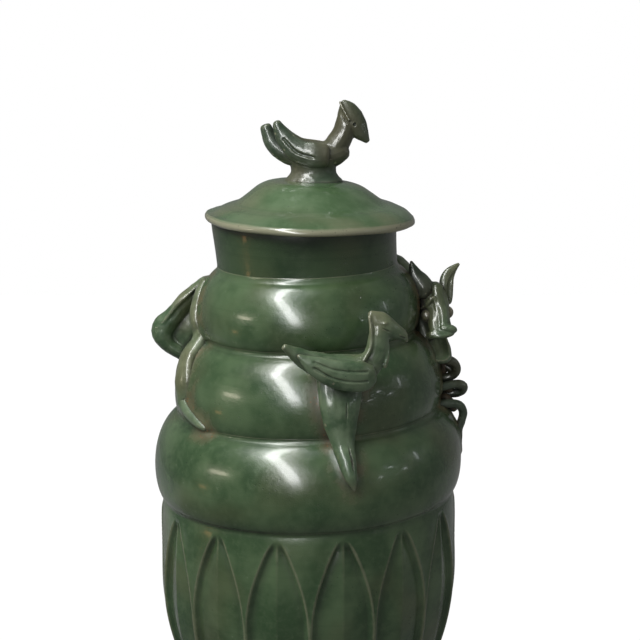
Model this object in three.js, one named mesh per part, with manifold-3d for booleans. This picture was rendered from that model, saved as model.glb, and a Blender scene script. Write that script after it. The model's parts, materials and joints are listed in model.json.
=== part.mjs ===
// Lidded celadon jar. Three swelling tiers stand on an ovoid body carved with upright lotus petals. A dragon
// is wrapped round the shoulder, a bird with a long hanging tail perches on the front, and a second bird is
// the knob of the lid. Each piece of clay that the potter luted on is a piece of its own.
// Millimetres, +Z up, the front towards -Y, the origin at the centre of the foot.

import * as THREE from "three";
import { mergeVertices } from "three/addons/utils/BufferGeometryUtils.js";
import Module from "manifold-3d";

const wasm = await Module();
wasm.setup();

// Clearances
const lutingGap = 0.3; // left round every applied piece, where the slip was
const lidGap = 0.3; // between the lid and the rim that it rests on
const flangeClearance = 1.5; // between the flange of the lid and the bore of the neck

// Thrown walls
const potWall = 6;
const floorThickness = 7;
const ledge = 0.8; // a tier overhangs the shoulder that it stands on by this
const columnsAround = 32; // facets round a thrown form
const lidRows = 9; // facets from the crown of the lid to its brim
const pedestalColumns = 12;

// Foot ring: radius at its waist, width and height of the ring, and how far it flares below the body
const foot = { radius: 46.5, width: 8, height: 8, flare: 1.7, flareHeight: 3, edge: 1 };

// Swellings, from the bottom up. The falls say how hollow the curve is below and above the belly.
const bodySizes = {
  belly: 73.5, bellyHeight: 68, shoulder: 70.3, height: 108.2, footFall: 1.6, shoulderFall: 1,
};
const lowerTierSizes = {
  belly: 75, bellyHeight: 13.8, shoulder: 61.5, height: 40.2, footFall: 1, shoulderFall: 1.1,
};
const middleTierSizes = {
  belly: 64.5, bellyHeight: 9.6, shoulder: 48.4, height: 37.2, footFall: 1, shoulderFall: 1.15,
};
const upperTierSizes = {
  belly: 53.5, bellyHeight: 9.9, shoulder: 43.5, height: 31.2, footFall: 0.8, shoulderFall: 1.4,
};

// Neck collar, standing on the upper tier: upright for a while, then flaring to the rim
const neck = { height: 24.2, upright: 4, flare: 2, halfFlareHeight: 13.5, rimRound: 1.3 };

// Petals: azimuths are degrees from the front towards +X. The larger the taper, the more pointed the tips. The
// cut deepens over a run from the tip and from the foot, and its middle ridge stands proud of its edges.
const petals = {
  count: 15, azimuth: 13, tipDrop: 2, length: 45, taper: 0.88, narrowest: 1,
  depth: 1.7, ridgeDepth: 0.4, bevel: 1.5, rib: 0.6, tipRun: 7, footRun: 10,
};

// Lid, with heights above the rim that it rests on
const lid = {
  crown: { radius: 12, height: 17.1 },
  dome: { radius: 23.5, height: 15.4 },
  waist: { radius: 36, height: 7.8 },
  flat: { radius: 42.5, height: 5.4 },
  brim: { radius: 50, height: 0.8, thickness: 3, roundedBy: 0.6, undercut: 2.6 },
  centreRise: 0.2, // above the crown
  wall: 5,
  hollow: { radius: 33, sideHeight: 5, sideTaper: 2 },
  warp: 1.3, // the brim sags by this towards +X and lifts as much towards -X
};
const flange = { wall: 3.5, depth: 9, edge: 1 };

// Bird on the front. Rows are along, out, up, half height and half thickness, from a point on its middle plane.
const perchedBird = {
  azimuth: 13,
  standOff: 3.5, // of the middle plane from the belly of the middle tier
  drop: 5.1, // of that point below the base of the upper tier
  torso: [
    [-26, 0.5, 14.2, 1.4, 1.2],
    [-21, 0, 10.8, 3.2, 2.4],
    [-13, -0.6, 6, 5.2, 4],
    [-3, -1, 2.6, 6.2, 5.4],
    [6, -1, 1.8, 6.6, 5.8],
    [13, -1, 3.6, 6, 5],
    [17.8, -1, 6, 3.4, 3],
  ],
  neck: [
    [12.5, -1, 3.5, 5, 4.2],
    [16, -0.6, 9.5, 5.2, 4],
    [16.8, 0, 16, 4.8, 3.6],
    [17.4, 0, 21, 4.2, 3.2],
  ],
  head: [
    [13.8, 0, 27.3, 0.9, 0.8],
    [16.6, 0, 23.8, 4, 2.4],
    [20.8, 0.2, 20.2, 4.4, 3.3],
    [25.2, 0, 17.6, 2.9, 2.3],
    [29, -0.2, 15.6, 1.3, 1],
  ],
  wing: [
    [-20, 3.2, 10.4, 1, 0.9],
    [-14, 4.4, 6.6, 4.2, 1.8],
    [-5, 5.4, 2.2, 6.2, 2.3],
    [4, 5.9, 0.6, 7, 2.5],
    [10, 5.6, 0.4, 6.6, 2.3],
    [12.8, 5, 1, 4.4, 1.7],
  ],
  farWingLift: 0.3, // the wing next to the jar sits this much higher
  lug: [
    [-3, -20, -7.5, 4, 5],
    [1, -12, -7, 4.6, 6.5],
    [4, -4, -4.6, 4.4, 5],
  ],
};

// Hanging leaf of its tail. Rows are azimuth, height above the middle tier's base, distance out from the belly
// of the middle tier, half width and half thickness.
const tailDrop = [
  [13.4, 30, -1, 10, 4],
  [12.6, 19, 2.4, 8.8, 4.2],
  [12.8, 9, 3.4, 7.4, 4],
  [13.6, 0, 5, 5.6, 3.6],
  [14.4, -8.4, 9.8, 4.8, 3.2],
  [15.7, -17, 12, 3, 2.2],
];

// Dragon's head: a point beside the upper tier, and where it looks. Rows are forward, across towards the left as
// seen from the front, up, half height and half width.
const dragonHead = {
  standOff: 6.5, // of its centre from the belly of the upper tier
  towardsFront: 2,
  height: 15.4, // above the base of the upper tier
  turn: 15, // degrees from the front towards +X
  skull: [
    [-9, 0, 5, 4.5, 4.6],
    [-4, 0, 2.5, 8, 6.6],
    [2, 0, -1, 8.2, 6.8],
    [7.5, 0, -6.5, 6.2, 5.8],
    [12.5, 0, -11.8, 4.4, 7.4],
    [16, 0, -14.6, 2.6, 6.8],
  ],
  jaw: [
    [-4, 0, -13, 3.4, 5],
    [1, 0, -19, 4.6, 6.4],
    [5.5, 0, -24.2, 4.8, 7],
    [9.4, 0, -26, 3.2, 5.8],
  ],
  jawHollow: [
    [1, 0, -13.8, 2.4, 3.6],
    [6.5, 0, -17.6, 3, 4.8],
    [12.5, 0, -20.8, 3, 5],
  ],
  horn: [
    [1, 6, 3.8, 5, 5.2],
    [1, 7.4, 9, 3.8, 3.9],
    [0.4, 9, 14, 2.2, 2.2],
    [-0.5, 11, 19.6, 0.8, 0.8],
  ],
  ear: [
    [0.4, -6.4, -0.4, 2.6, 2.8],
    [0.4, -6.9, 6, 2.2, 3.3],
    [0, -8.7, 11.4, 1.8, 2.7],
    [-0.4, -11.4, 14.8, 1.3, 1.6],
    [-0.6, -12.9, 16.4, 0.7, 0.8],
  ],
  eye: { forward: 5.4, across: 5.4, up: -6, radius: 3.1 },
};

// Coil round the back of the shoulder. Rows are azimuth, height above the upper tier's base, distance out from
// the wall, half height and half thickness.
const dragonCoil = [
  [88, -3, 2.6, 5, 5.4],
  [91, 4, 3, 4.8, 5.2],
  [97, 14, 1, 5.2, 5],
  [106, 22.4, 1.6, 5.6, 5],
  [118, 26, 2, 6, 5],
  [148, 20, 2.4, 6.4, 5.4],
  [176, 12, 2.6, 6.6, 5.6],
  [203, 10, 2.6, 6.4, 5.4],
  [230, 14, 2.4, 6, 5.2],
  [248, 17.5, 2, 5.6, 5],
  [262, 16.5, 0.6, 4.6, 4.4],
];

// Tail down the back, with heights above the middle tier's base
const dragonTail = [
  [246, 48, 3, 4.4, 4],
  [240, 35, 4, 4.4, 4],
  [229, 25, 2.6, 4.2, 3.8],
  [213, 12, 2.6, 3.8, 3.4],
  [199, 0, 5, 3.4, 3.2],
  [187, -12, 1.4, 2.9, 2.8],
  [174, -21, 1.2, 2.3, 2.3],
  [162, -23, 1.2, 1.2, 1.4],
];

// Leg on the back, with heights above the middle tier's base
const dragonBackLeg = [
  [166, 46, 3, 5, 4.4],
  [157, 37, 11, 4.4, 4],
  [149, 28, 9, 4, 3.6],
  [142, 19, 3, 3.8, 3.2],
  [137, 11, 1.8, 5, 2.6],
  [134, 4, 1.2, 2.4, 1.8],
];

// Bent leg that stands out at the left, and the web of clay behind it that closes the bend, with heights above
// the upper tier's base
const dragonHindLeg = [
  [262, 18.9, -1.2, 5, 5.5],
  [262, 9, 6.6, 5, 5.4],
  [262.3, -4, 15.7, 5.6, 6.4],
  [262, -10, 4.8, 4.8, 5.2],
  [261, -15.6, -5, 4, 4.6],
];
const dragonHaunch = [
  [257, 13, 1, 3, 6],
  [256.5, 4, 4.5, 3.4, 8],
  [256, -5, 5, 3.4, 8],
  [256, -13, -2, 3, 6],
];

// Foreleg in low relief on the left, with heights above the upper tier's base
const dragonForeleg = [
  [270, 20, 0.8, 6, 3.4],
  [276, 9, 1, 6.6, 3.4],
  [284, -1, 2, 7, 3.6],
  [290, -10, 1.6, 7.4, 3.2],
  [294, -19, 2.2, 6.4, 2.8],
  [295, -25, 1, 5.2, 2.6],
];

// Its pointed paw, with heights above the middle tier's base
const dragonForepaw = [
  [294, 15, 1, 4.6, 2.6],
  [297, 9.6, 1.2, 4.4, 2.7],
  [304, 5, 1.3, 3.8, 2.6],
  [313, 1.7, 1.4, 2.2, 2],
];

// Scrolls below the jaw: rolled strips of clay that spring from the wall and come back to it. Rows are distance
// out from the belly of the middle tier, distance behind the middle plane, and height above that tier's base.
const scrollRadius = 2.2;
const upperScroll = [
  [-4, -5, 24.5],
  [3.5, -4, 23.6],
  [6.6, -2.6, 21.4],
  [7.6, -1.2, 18],
  [5.8, 0, 14.8],
  [1, 0.6, 13.4],
  [-3, 1, 13.2],
];
const middleScroll = [
  [-3, -5, 9.6],
  [2, -4.4, 10.6],
  [7.8, -2.6, 11.2],
  [11, -1, 9.8],
  [10.8, 0.6, 7.4],
  [8, 1.8, 5.6],
  [3, 2.6, 5.2],
  [-2, 3, 5.4],
];
const lowerScroll = [
  [-3, -5, 1.6],
  [2, -4.6, 1.8],
  [6.5, -3, 1.4],
  [10, -1.4, -0.6],
  [11.3, -0.4, -4],
  [10.8, 0.2, -8],
  [9.4, 0.5, -12],
  [9.1, 0.5, -16],
  [9, 0.4, -23],
];

// Thinner strips that close the upper and lower scrolls towards the wall
const innerRadius = 1.8;
const upperInner = [
  [-3, 2.4, 20.4],
  [2, 1.8, 19.2],
  [5.4, 0.4, 17.4],
];
const lowerInner = [
  [-1, -3.4, 1.6],
  [2.4, -1.6, -2],
  [3.8, -0.4, -6],
  [6.2, 0.2, -9.8],
  [9.2, 0.5, -13],
];

// Bird on the lid. Rows are x, y, height above the crown, half height and half thickness.
const finialBird = {
  torso: [
    [-20.6, 0.6, 25.8, 1.9, 1.9],
    [-17, 0.4, 17.4, 3.6, 3],
    [-11, 0, 12.2, 5.2, 4.6],
    [-3, 0, 11.4, 6.8, 6.3],
    [5, 0, 11.6, 6.9, 6.7],
    [12, 0, 12.8, 6.6, 6.1],
    [17.2, 0, 14.6, 4.6, 4.4],
  ],
  neck: [
    [10, 0, 12.8, 5.4, 5.2],
    [14.4, 0, 18, 5.6, 5],
    [17, 0, 22.8, 5.2, 4.6],
    [18.3, 0, 27, 5.2, 4.4],
    [18.6, 0, 31, 4.6, 3.8],
  ],
  head: [
    [16.4, 0, 37, 1.2, 1.1],
    [17.6, 0, 34.2, 3.6, 2.6],
    [19.6, 0, 30.2, 5.5, 4],
    [22.6, 0, 26, 5.2, 4.2],
    [25.6, 0, 21.8, 3.6, 3.1],
    [28.2, 0, 18.4, 1.3, 1.1],
  ],
  wing: [
    [-15.2, -4, 27.4, 1.3, 1.1],
    [-11.8, -4.8, 21.2, 3.1, 1.8],
    [-4.5, -6.1, 14.4, 5.1, 2.3],
    [3, -6.7, 12.4, 5.7, 2.5],
    [8.2, -6.3, 12, 4.8, 2.1],
  ],
  pedestal: { x: 2.6, length: 26, width: 17, waist: 0.83, height: 8.8, sink: 1.5, intoBird: 2 },
};

// Solids

// A closed geometry as a solid: its vertices are merged and the faces that collapse at a pole are dropped.
function toSolid(geometry) {
  geometry.deleteAttribute("normal");
  geometry.deleteAttribute("uv");
  const merged = mergeVertices(geometry, 1e-4);
  const corners = merged.index.array;
  const kept = [];
  for (let i = 0; i < corners.length; i += 3) {
    const [a, b, c] = corners.slice(i, i + 3);
    if (a !== b && b !== c && c !== a) kept.push(a, b, c);
  }
  return new wasm.Manifold(
    new wasm.Mesh({
      numProp: 3,
      vertProperties: merged.attributes.position.array,
      triVerts: new Uint32Array(kept),
    }),
  );
}

function toGeometry(solid) {
  const mesh = solid.getMesh();
  const geometry = new THREE.BufferGeometry();
  geometry.setAttribute("position", new THREE.BufferAttribute(mesh.vertProperties, 3));
  geometry.setIndex(new THREE.BufferAttribute(mesh.triVerts, 1));
  geometry.computeVertexNormals();
  return geometry;
}

const cut = (solid, ...others) => others.reduce((left, other) => left.subtract(other), solid);

// A turned form: an outline of [radius, height] pairs, closed on itself and turned once round the axis.
function turnedGeometry(outline, columns = columnsAround) {
  const points = [...outline, outline[0]].map(([radius, height]) => new THREE.Vector2(radius, height));
  return new THREE.LatheGeometry(points, columns).rotateX(Math.PI / 2);
}

const turned = (outline, columns) => toSolid(turnedGeometry(outline, columns));

// A hand-rolled form: rings of points along a smooth line through the stations, closed at both ends. A station
// has its centre and its half sizes, across and through, and thickDirection says which way is through.
function rolled(stations, thickDirection, { sides = 8, steps = 2, grow = 0 } = {}) {
  const line = new THREE.CatmullRomCurve3(stations.map((station) => station.centre), false, "centripetal");
  const sizes = new THREE.CatmullRomCurve3(
    stations.map((station) => new THREE.Vector3(station.across, station.through, 0)),
  );
  const rings = (stations.length - 1) * steps;
  const positions = [];
  const corners = [];
  const addPole = (t, endways) => {
    const tip = line.getPoint(t).addScaledVector(line.getTangent(t), endways);
    positions.push(tip.x, tip.y, tip.z);
  };
  const roundEnd = 0.5; // the ends bulge by this share of the half thickness
  addPole(0, -roundEnd * stations[0].through - grow);
  for (let ring = 0; ring <= rings; ring++) {
    const t = ring / rings;
    const centre = line.getPoint(t);
    const along = line.getTangent(t);
    const through = thickDirection(centre);
    through.addScaledVector(along, -through.dot(along)).normalize();
    const across = new THREE.Vector3().crossVectors(along, through);
    const half = sizes.getPoint(t);
    for (let side = 0; side < sides; side++) {
      const turn = (2 * Math.PI * side) / sides;
      const point = centre.clone();
      point.addScaledVector(across, (half.x + grow) * Math.cos(turn));
      point.addScaledVector(through, (half.y + grow) * Math.sin(turn));
      positions.push(point.x, point.y, point.z);
    }
  }
  addPole(1, roundEnd * stations.at(-1).through + grow);
  const corner = (ring, side) => 1 + ring * sides + (side % sides);
  const lastPole = corner(rings + 1, 0);
  for (let side = 0; side < sides; side++) {
    corners.push(0, corner(0, side), corner(0, side + 1));
    for (let ring = 0; ring < rings; ring++) {
      corners.push(corner(ring, side), corner(ring + 1, side), corner(ring, side + 1));
      corners.push(corner(ring, side + 1), corner(ring + 1, side), corner(ring + 1, side + 1));
    }
    corners.push(lastPole, corner(rings, side + 1), corner(rings, side));
  }
  const geometry = new THREE.BufferGeometry();
  geometry.setAttribute("position", new THREE.Float32BufferAttribute(positions, 3));
  geometry.setIndex(corners);
  return toSolid(geometry);
}

const ball = (centre, radius) =>
  toSolid(new THREE.SphereGeometry(radius, 8, 6).translate(centre.x, centre.y, centre.z));

// Places

const radians = THREE.MathUtils.degToRad;
const outwards = (azimuth) => new THREE.Vector3(Math.sin(radians(azimuth)), -Math.cos(radians(azimuth)), 0);
const awayFromAxis = (point) => new THREE.Vector3(point.x, point.y, 0).normalize();

// Thrown pot

// A swelling stands on the shoulder of what is below it.
const stacked = (sizes, below) => ({
  ...sizes,
  base: below.top,
  top: below.top + sizes.height,
  foot: below.shoulder + ledge,
  mouth: below.shoulder - potWall,
});

const lowerBody = stacked(bodySizes, { top: foot.height, shoulder: foot.radius + foot.flare });
const lowerTier = stacked(lowerTierSizes, lowerBody);
const middleTier = stacked(middleTierSizes, lowerTier);
const upperTier = stacked(upperTierSizes, middleTier);
const swellings = [lowerBody, lowerTier, middleTier, upperTier];

const neckRadius = upperTier.shoulder + neck.flare;
const neckBore = neckRadius - potWall;
const rimHeight = upperTier.top + neck.height;

// Radius of a swelling at a height: a quarter curve out to the belly, and another one in to the shoulder.
function swellRadius(swelling, height) {
  const aboveBelly = height - swelling.base - swelling.bellyHeight;
  const [end, span, fall] =
    aboveBelly < 0
      ? [swelling.foot, swelling.bellyHeight, swelling.footFall]
      : [swelling.shoulder, swelling.height - swelling.bellyHeight, swelling.shoulderFall];
  const rise = Math.min(1, Math.abs(aboveBelly) / span);
  return end + (swelling.belly - end) * Math.sqrt(1 - rise * rise) ** fall;
}

// Outline of a swelling from its base to its top
function swellOutline(swelling, rowsBelow, rowsAbove) {
  const points = [];
  for (let row = -rowsBelow; row <= rowsAbove; row++) {
    const quarter = (row / (row < 0 ? rowsBelow : rowsAbove)) * (Math.PI / 2);
    const span = row < 0 ? swelling.bellyHeight : swelling.height - swelling.bellyHeight;
    const height = swelling.base + swelling.bellyHeight + span * Math.sin(quarter);
    points.push([swellRadius(swelling, height), height]);
  }
  return points;
}

// The inside of a swelling follows its outside, one wall further in, and runs straight through its shoulder.
const inside = (swelling) => ({
  ...swelling,
  foot: swelling.mouth,
  belly: swelling.belly - potWall,
  shoulder: swelling.shoulder - potWall,
  height: swelling.height - potWall,
});

const boreThroughShoulder = (swelling) => [swelling.shoulder - potWall, swelling.top];

const tierOutline = (tier) => [
  ...swellOutline(tier, 2, 5),
  boreThroughShoulder(tier),
  ...swellOutline(inside(tier), 1, 2).reverse(),
];

function bodyOutline() {
  const cavity = inside(lowerBody);
  const floor = lowerBody.base + floorThickness;
  const bellyInside = cavity.base + cavity.bellyHeight;
  cavity.base = floor;
  cavity.bellyHeight = bellyInside - floor;
  cavity.height -= floorThickness;
  return [
    [0, lowerBody.base],
    ...petalRows().map((height) => [swellRadius(lowerBody, height), height]),
    boreThroughShoulder(lowerBody),
    ...swellOutline(cavity, 2, 1).reverse(),
    [0, floor],
  ];
}

// Heights of the rows of vertices on the outside of the carved body, closer together at the petals' tips
function petalRows() {
  const tip = lowerBody.top - petals.tipDrop;
  const nearTips = [0.7, 0.45, 0.25, 0.1].map((share) => tip - share * petals.length);
  const rise = nearTips[0] - lowerBody.base;
  const nearFoot = [0, 0.1, 0.3, 0.6].map((share) => lowerBody.base + share * rise);
  return [...nearFoot, ...nearTips, tip, lowerBody.top];
}

// The petals are cut in with a bevelled outline: each falls from its middle ridge to its edges, and the clay
// between two tips stays proud.
function carvedBody() {
  const columnsPerPetal = 6;
  const outline = bodyOutline();
  const geometry = turnedGeometry(outline, petals.count * columnsPerPetal);
  const position = geometry.attributes.position;
  const rows = outline.length + 1;
  const carvedRows = petalRows().length;
  const tip = lowerBody.top - petals.tipDrop;
  const pitch = (2 * Math.PI) / petals.count;
  for (let i = 0; i < position.count; i++) {
    const row = i % rows;
    if (row < 1 || row > carvedRows) continue;
    const height = position.getZ(i);
    const radius = Math.hypot(position.getX(i), position.getY(i));
    const widest = (pitch / 2) * radius - petals.bevel - petals.rib;
    const belowTip = THREE.MathUtils.clamp((tip - height) / petals.length, 0, 1);
    const half = Math.max(petals.narrowest, widest * Math.sin((belowTip * Math.PI) / 2) ** petals.taper);
    const fromTip = THREE.MathUtils.smoothstep(tip - height, 0, petals.tipRun);
    const fromFoot = THREE.MathUtils.smoothstep(height - lowerBody.base, 0, petals.footRun);
    const edge = half / radius;
    const outer = (half + petals.bevel) / radius;
    const column = Math.floor(i / rows);
    const turns = [0, edge, outer, pitch / 2, pitch - outer, pitch - edge];
    const depths = [petals.ridgeDepth, petals.depth, 0, 0, 0, petals.depth];
    const place = column % columnsPerPetal;
    const petal = Math.floor(column / columnsPerPetal);
    const turn = radians(petals.azimuth) + petal * pitch + turns[place];
    const carved = radius - depths[place] * fromTip * fromFoot;
    position.setXY(i, carved * Math.sin(turn), -carved * Math.cos(turn));
  }
  return toSolid(geometry);
}

const footRing = () =>
  turned([
    [foot.radius - foot.width + foot.edge, 0],
    [foot.radius - foot.edge, 0],
    [foot.radius, foot.edge],
    [foot.radius, foot.height - foot.flareHeight],
    [foot.radius + foot.flare, foot.height],
    [foot.radius - foot.width - foot.edge, foot.height],
  ]);

const neckOutline = () => [
  [upperTier.shoulder, upperTier.top],
  [upperTier.shoulder, upperTier.top + neck.upright],
  [upperTier.shoulder + neck.flare / 2, upperTier.top + neck.halfFlareHeight],
  [neckRadius, rimHeight - 2 * neck.rimRound],
  [neckRadius - neck.rimRound, rimHeight],
  [neckBore + neck.rimRound, rimHeight],
  [neckBore, rimHeight - neck.rimRound],
  [upperTier.shoulder - potWall, upperTier.top],
];

// The outside of the pot as one plain solid, grown by the luting gap, which cuts the backs of applied pieces
function potForm() {
  const grown = (points) =>
    points.map(([radius, height], i) => {
      const [beforeRadius, beforeHeight] = points[Math.max(0, i - 1)];
      const [afterRadius, afterHeight] = points[Math.min(points.length - 1, i + 1)];
      const side = new THREE.Vector2(afterHeight - beforeHeight, beforeRadius - afterRadius);
      side.setLength(lutingGap);
      return [radius + side.x, height + side.y];
    });
  const filled = (points) => turned([[0, points[0][1]], ...points, [0, points.at(-1)[1]]]);
  const forms = swellings.map((swelling) => filled(grown(swellOutline(swelling, 2, 5))));
  forms.push(filled(grown(neckOutline().slice(0, 5))));
  return forms.reduce((whole, form) => whole.add(form));
}

const pot = potForm();

function wallRadius(height) {
  const swelling = swellings.find((candidate) => height < candidate.top);
  return swelling ? swellRadius(swelling, height) : upperTier.shoulder;
}

// Stations of a form that is wrapped round the pot. Rows are azimuth, height above the base, distance out from
// the wall, half height and half thickness.
const wrapped = (rows, base) =>
  rows.map(([azimuth, up, out, across, through]) => ({
    centre: outwards(azimuth)
      .multiplyScalar(wallRadius(base + up) + out)
      .setZ(base + up),
    across,
    through,
  }));

// Bird on the front

function birdStations(rows, side = 1, lift = 0) {
  const out = outwards(perchedBird.azimuth);
  const along = new THREE.Vector3(-out.y, out.x, 0);
  const origin = out.clone()
    .multiplyScalar(middleTier.belly + perchedBird.standOff)
    .setZ(upperTier.base - perchedBird.drop);
  return rows.map(([a, o, up, across, through]) => ({
    centre: origin.clone().addScaledVector(along, a).addScaledVector(out, side * o)
      .add(new THREE.Vector3(0, 0, up + lift)),
    across,
    through,
  }));
}

const birdOut = () => outwards(perchedBird.azimuth);

function perchedTorso(grow = 0) {
  const { torso, neck: throat, head, lug } = perchedBird;
  const parts = [torso, throat, head, lug].map((rows) => rolled(birdStations(rows), birdOut, { grow }));
  return parts.reduce((whole, part) => whole.add(part));
}

const perchedNearWing = (grow = 0) => rolled(birdStations(perchedBird.wing), birdOut, { grow });
const perchedFarWing = (grow = 0) =>
  rolled(birdStations(perchedBird.wing, -1, perchedBird.farWingLift), birdOut, { grow });

const hangingTail = () =>
  rolled(
    tailDrop.map(([azimuth, up, out, across, through]) => ({
      centre: outwards(azimuth).multiplyScalar(middleTier.belly + out).setZ(middleTier.base + up),
      across,
      through,
    })),
    awayFromAxis,
  );

// Dragon

const headCentre = new THREE.Vector3(
  upperTier.belly + dragonHead.standOff,
  -dragonHead.towardsFront,
  upperTier.base + dragonHead.height,
);
const headForward = outwards(dragonHead.turn);
const headAcross = new THREE.Vector3(headForward.y, -headForward.x, 0); // towards the left in front view
const inHead = (forward, across, up) =>
  headCentre.clone().addScaledVector(headForward, forward).addScaledVector(headAcross, across)
    .add(new THREE.Vector3(0, 0, up));
const headPart = (rows, grow = 0) =>
  rolled(
    rows.map(([forward, side, up, across, through]) => ({
      centre: inHead(forward, side, up),
      across,
      through,
    })),
    () => headAcross.clone(),
    { grow },
  );

function eyeball(side, grow = 0) {
  const { forward, across, up, radius } = dragonHead.eye;
  return ball(inHead(forward, side * across, up), radius + grow);
}

const wrappedPart = (rows, base, grow = 0) => rolled(wrapped(rows, base), awayFromAxis, { grow });

const hindLeg = (grow = 0) =>
  wrappedPart(dragonHindLeg, upperTier.base, grow).add(wrappedPart(dragonHaunch, upperTier.base, grow));

const strip = (rows, radius, grow) =>
  rolled(
    rows.map(([out, back, up]) => ({
      centre: new THREE.Vector3(middleTier.belly + out, back, middleTier.base + up),
      across: radius,
      through: radius,
    })),
    () => new THREE.Vector3(0, 1, 0),
    { sides: 6, grow },
  );
const scroll = (rows, { inner, grow = 0 } = {}) => {
  const outer = strip(rows, scrollRadius, grow);
  return inner ? outer.add(strip(inner, innerRadius, grow)) : outer;
};

// Lid

const restHeight = rimHeight + lidGap;
const crownHeight = restHeight + lid.crown.height;

const lidTop = () => {
  const { crown, dome, waist, flat, brim } = lid;
  const spline = new THREE.SplineCurve(
    [[0, crown.height + lid.centreRise], [crown.radius, crown.height], [dome.radius, dome.height],
      [waist.radius, waist.height], [flat.radius, flat.height], [brim.radius, brim.height]]
      .map(([radius, height]) => new THREE.Vector2(radius, height)),
  );
  return spline.getPoints(lidRows).map((point) => [point.x, restHeight + point.y]);
};

function lidDome() {
  const { brim, hollow, wall, crown, dome } = lid;
  const outsideRim = neckRadius + 2 * lidGap;
  const outline = [
    ...lidTop(),
    [brim.radius - brim.roundedBy, restHeight + brim.height - (brim.thickness * 2) / 3],
    [brim.radius - brim.undercut, restHeight + brim.height - brim.thickness],
    [outsideRim, restHeight],
    [hollow.radius, restHeight],
    [hollow.radius - hollow.sideTaper, restHeight + hollow.sideHeight],
    [dome.radius, restHeight + dome.height - wall],
    [crown.radius, restHeight + crown.height - wall],
    [0, restHeight + crown.height - wall],
  ].reverse();
  const geometry = turnedGeometry(outline);
  const position = geometry.attributes.position;
  for (let i = 0; i < position.count; i++) {
    const radius = Math.hypot(position.getX(i), position.getY(i));
    const overhang = Math.max(0, (radius - outsideRim) / (brim.radius - outsideRim));
    const sag = (lid.warp * overhang * position.getX(i)) / brim.radius;
    position.setZ(i, position.getZ(i) - sag);
  }
  return toSolid(geometry);
}

const lidFlange = () => {
  const outer = neckBore - flangeClearance;
  return turned([
    [outer - flange.wall, restHeight - flange.depth],
    [outer - flange.edge, restHeight - flange.depth],
    [outer, restHeight - flange.depth + flange.edge],
    [outer, restHeight],
    [outer - flange.wall, restHeight],
  ]);
};

const sideways = () => new THREE.Vector3(0, 1, 0);
const finialPart = (rows, { side = 1, grow = 0 } = {}) =>
  rolled(
    rows.map(([x, y, up, across, through]) => ({
      centre: new THREE.Vector3(x, side * y, crownHeight + up),
      across,
      through,
    })),
    sideways,
    { grow },
  );
const finialTorso = (grow = 0) =>
  [finialBird.torso, finialBird.neck, finialBird.head]
    .map((rows) => finialPart(rows, { grow }))
    .reduce((whole, part) => whole.add(part));

function pedestal() {
  const { x, length, width, waist, height, sink, intoBird } = finialBird.pedestal;
  const top = height + intoBird;
  const outline = [
    [0, -sink], [1, -sink], [1, 0], [(1 + 2 * waist) / 3, height * 0.2], [waist, height * 0.45],
    [waist, height * 0.7], [1, top], [0, top],
  ];
  const geometry = turnedGeometry(outline, pedestalColumns)
    .scale(length / 2, width / 2, 1)
    .translate(x, 0, crownHeight);
  return toSolid(geometry);
}

// The top of the lid as a plain solid, grown by the luting gap
const lidForm = () => {
  const top = lidTop().map(([radius, height]) => [radius, height + lutingGap]);
  return turned([[0, restHeight], [lid.brim.radius, restHeight], ...top.reverse()]);
};

// Glazes and clay

const glaze = (color, roughness = 0.22) => new THREE.MeshStandardMaterial({ color, roughness, metalness: 0 });
const jarGlaze = glaze(0x4f6650);
const lidGlaze = glaze(0x6c8268, 0.28);
const figureGlaze = glaze(0x586f57, 0.25);
const scrollGlaze = glaze(0x4a5c4a, 0.3);
const eyeGlaze = glaze(0x6a7262, 0.3);
const bareClay = glaze(0x8a6a4e, 0.85);

const root = new THREE.Group();

function piece(name, solid, material) {
  const mesh = new THREE.Mesh(toGeometry(solid), material);
  mesh.name = name;
  root.add(mesh);
}

piece("foot_ring", footRing(), bareClay);
piece("lower_body", carvedBody(), jarGlaze);
piece("lower_tier", turned(tierOutline(lowerTier)), jarGlaze);
piece("middle_tier", turned(tierOutline(middleTier)), jarGlaze);
piece("upper_tier", turned(tierOutline(upperTier)), jarGlaze);
piece("neck_collar", turned(neckOutline()), jarGlaze);

piece(
  "perched_bird_body",
  cut(perchedTorso(), perchedNearWing(lutingGap), perchedFarWing(lutingGap), pot),
  figureGlaze,
);
piece("perched_bird_near_wing", perchedNearWing(), figureGlaze);
piece("perched_bird_far_wing", cut(perchedFarWing(), pot), figureGlaze);
piece(
  "perched_bird_tail_drop",
  cut(hangingTail(), perchedTorso(lutingGap), perchedNearWing(lutingGap), perchedFarWing(lutingGap), pot),
  figureGlaze,
);

const leftHorn = headPart(dragonHead.horn);
const rightEar = headPart(dragonHead.ear);
const skull = headPart(dragonHead.skull);
const grownSkull = headPart(dragonHead.skull, lutingGap);
const grownJaw = headPart(dragonHead.jaw, lutingGap);
const grownCoil = wrappedPart(dragonCoil, upperTier.base, lutingGap);

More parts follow.
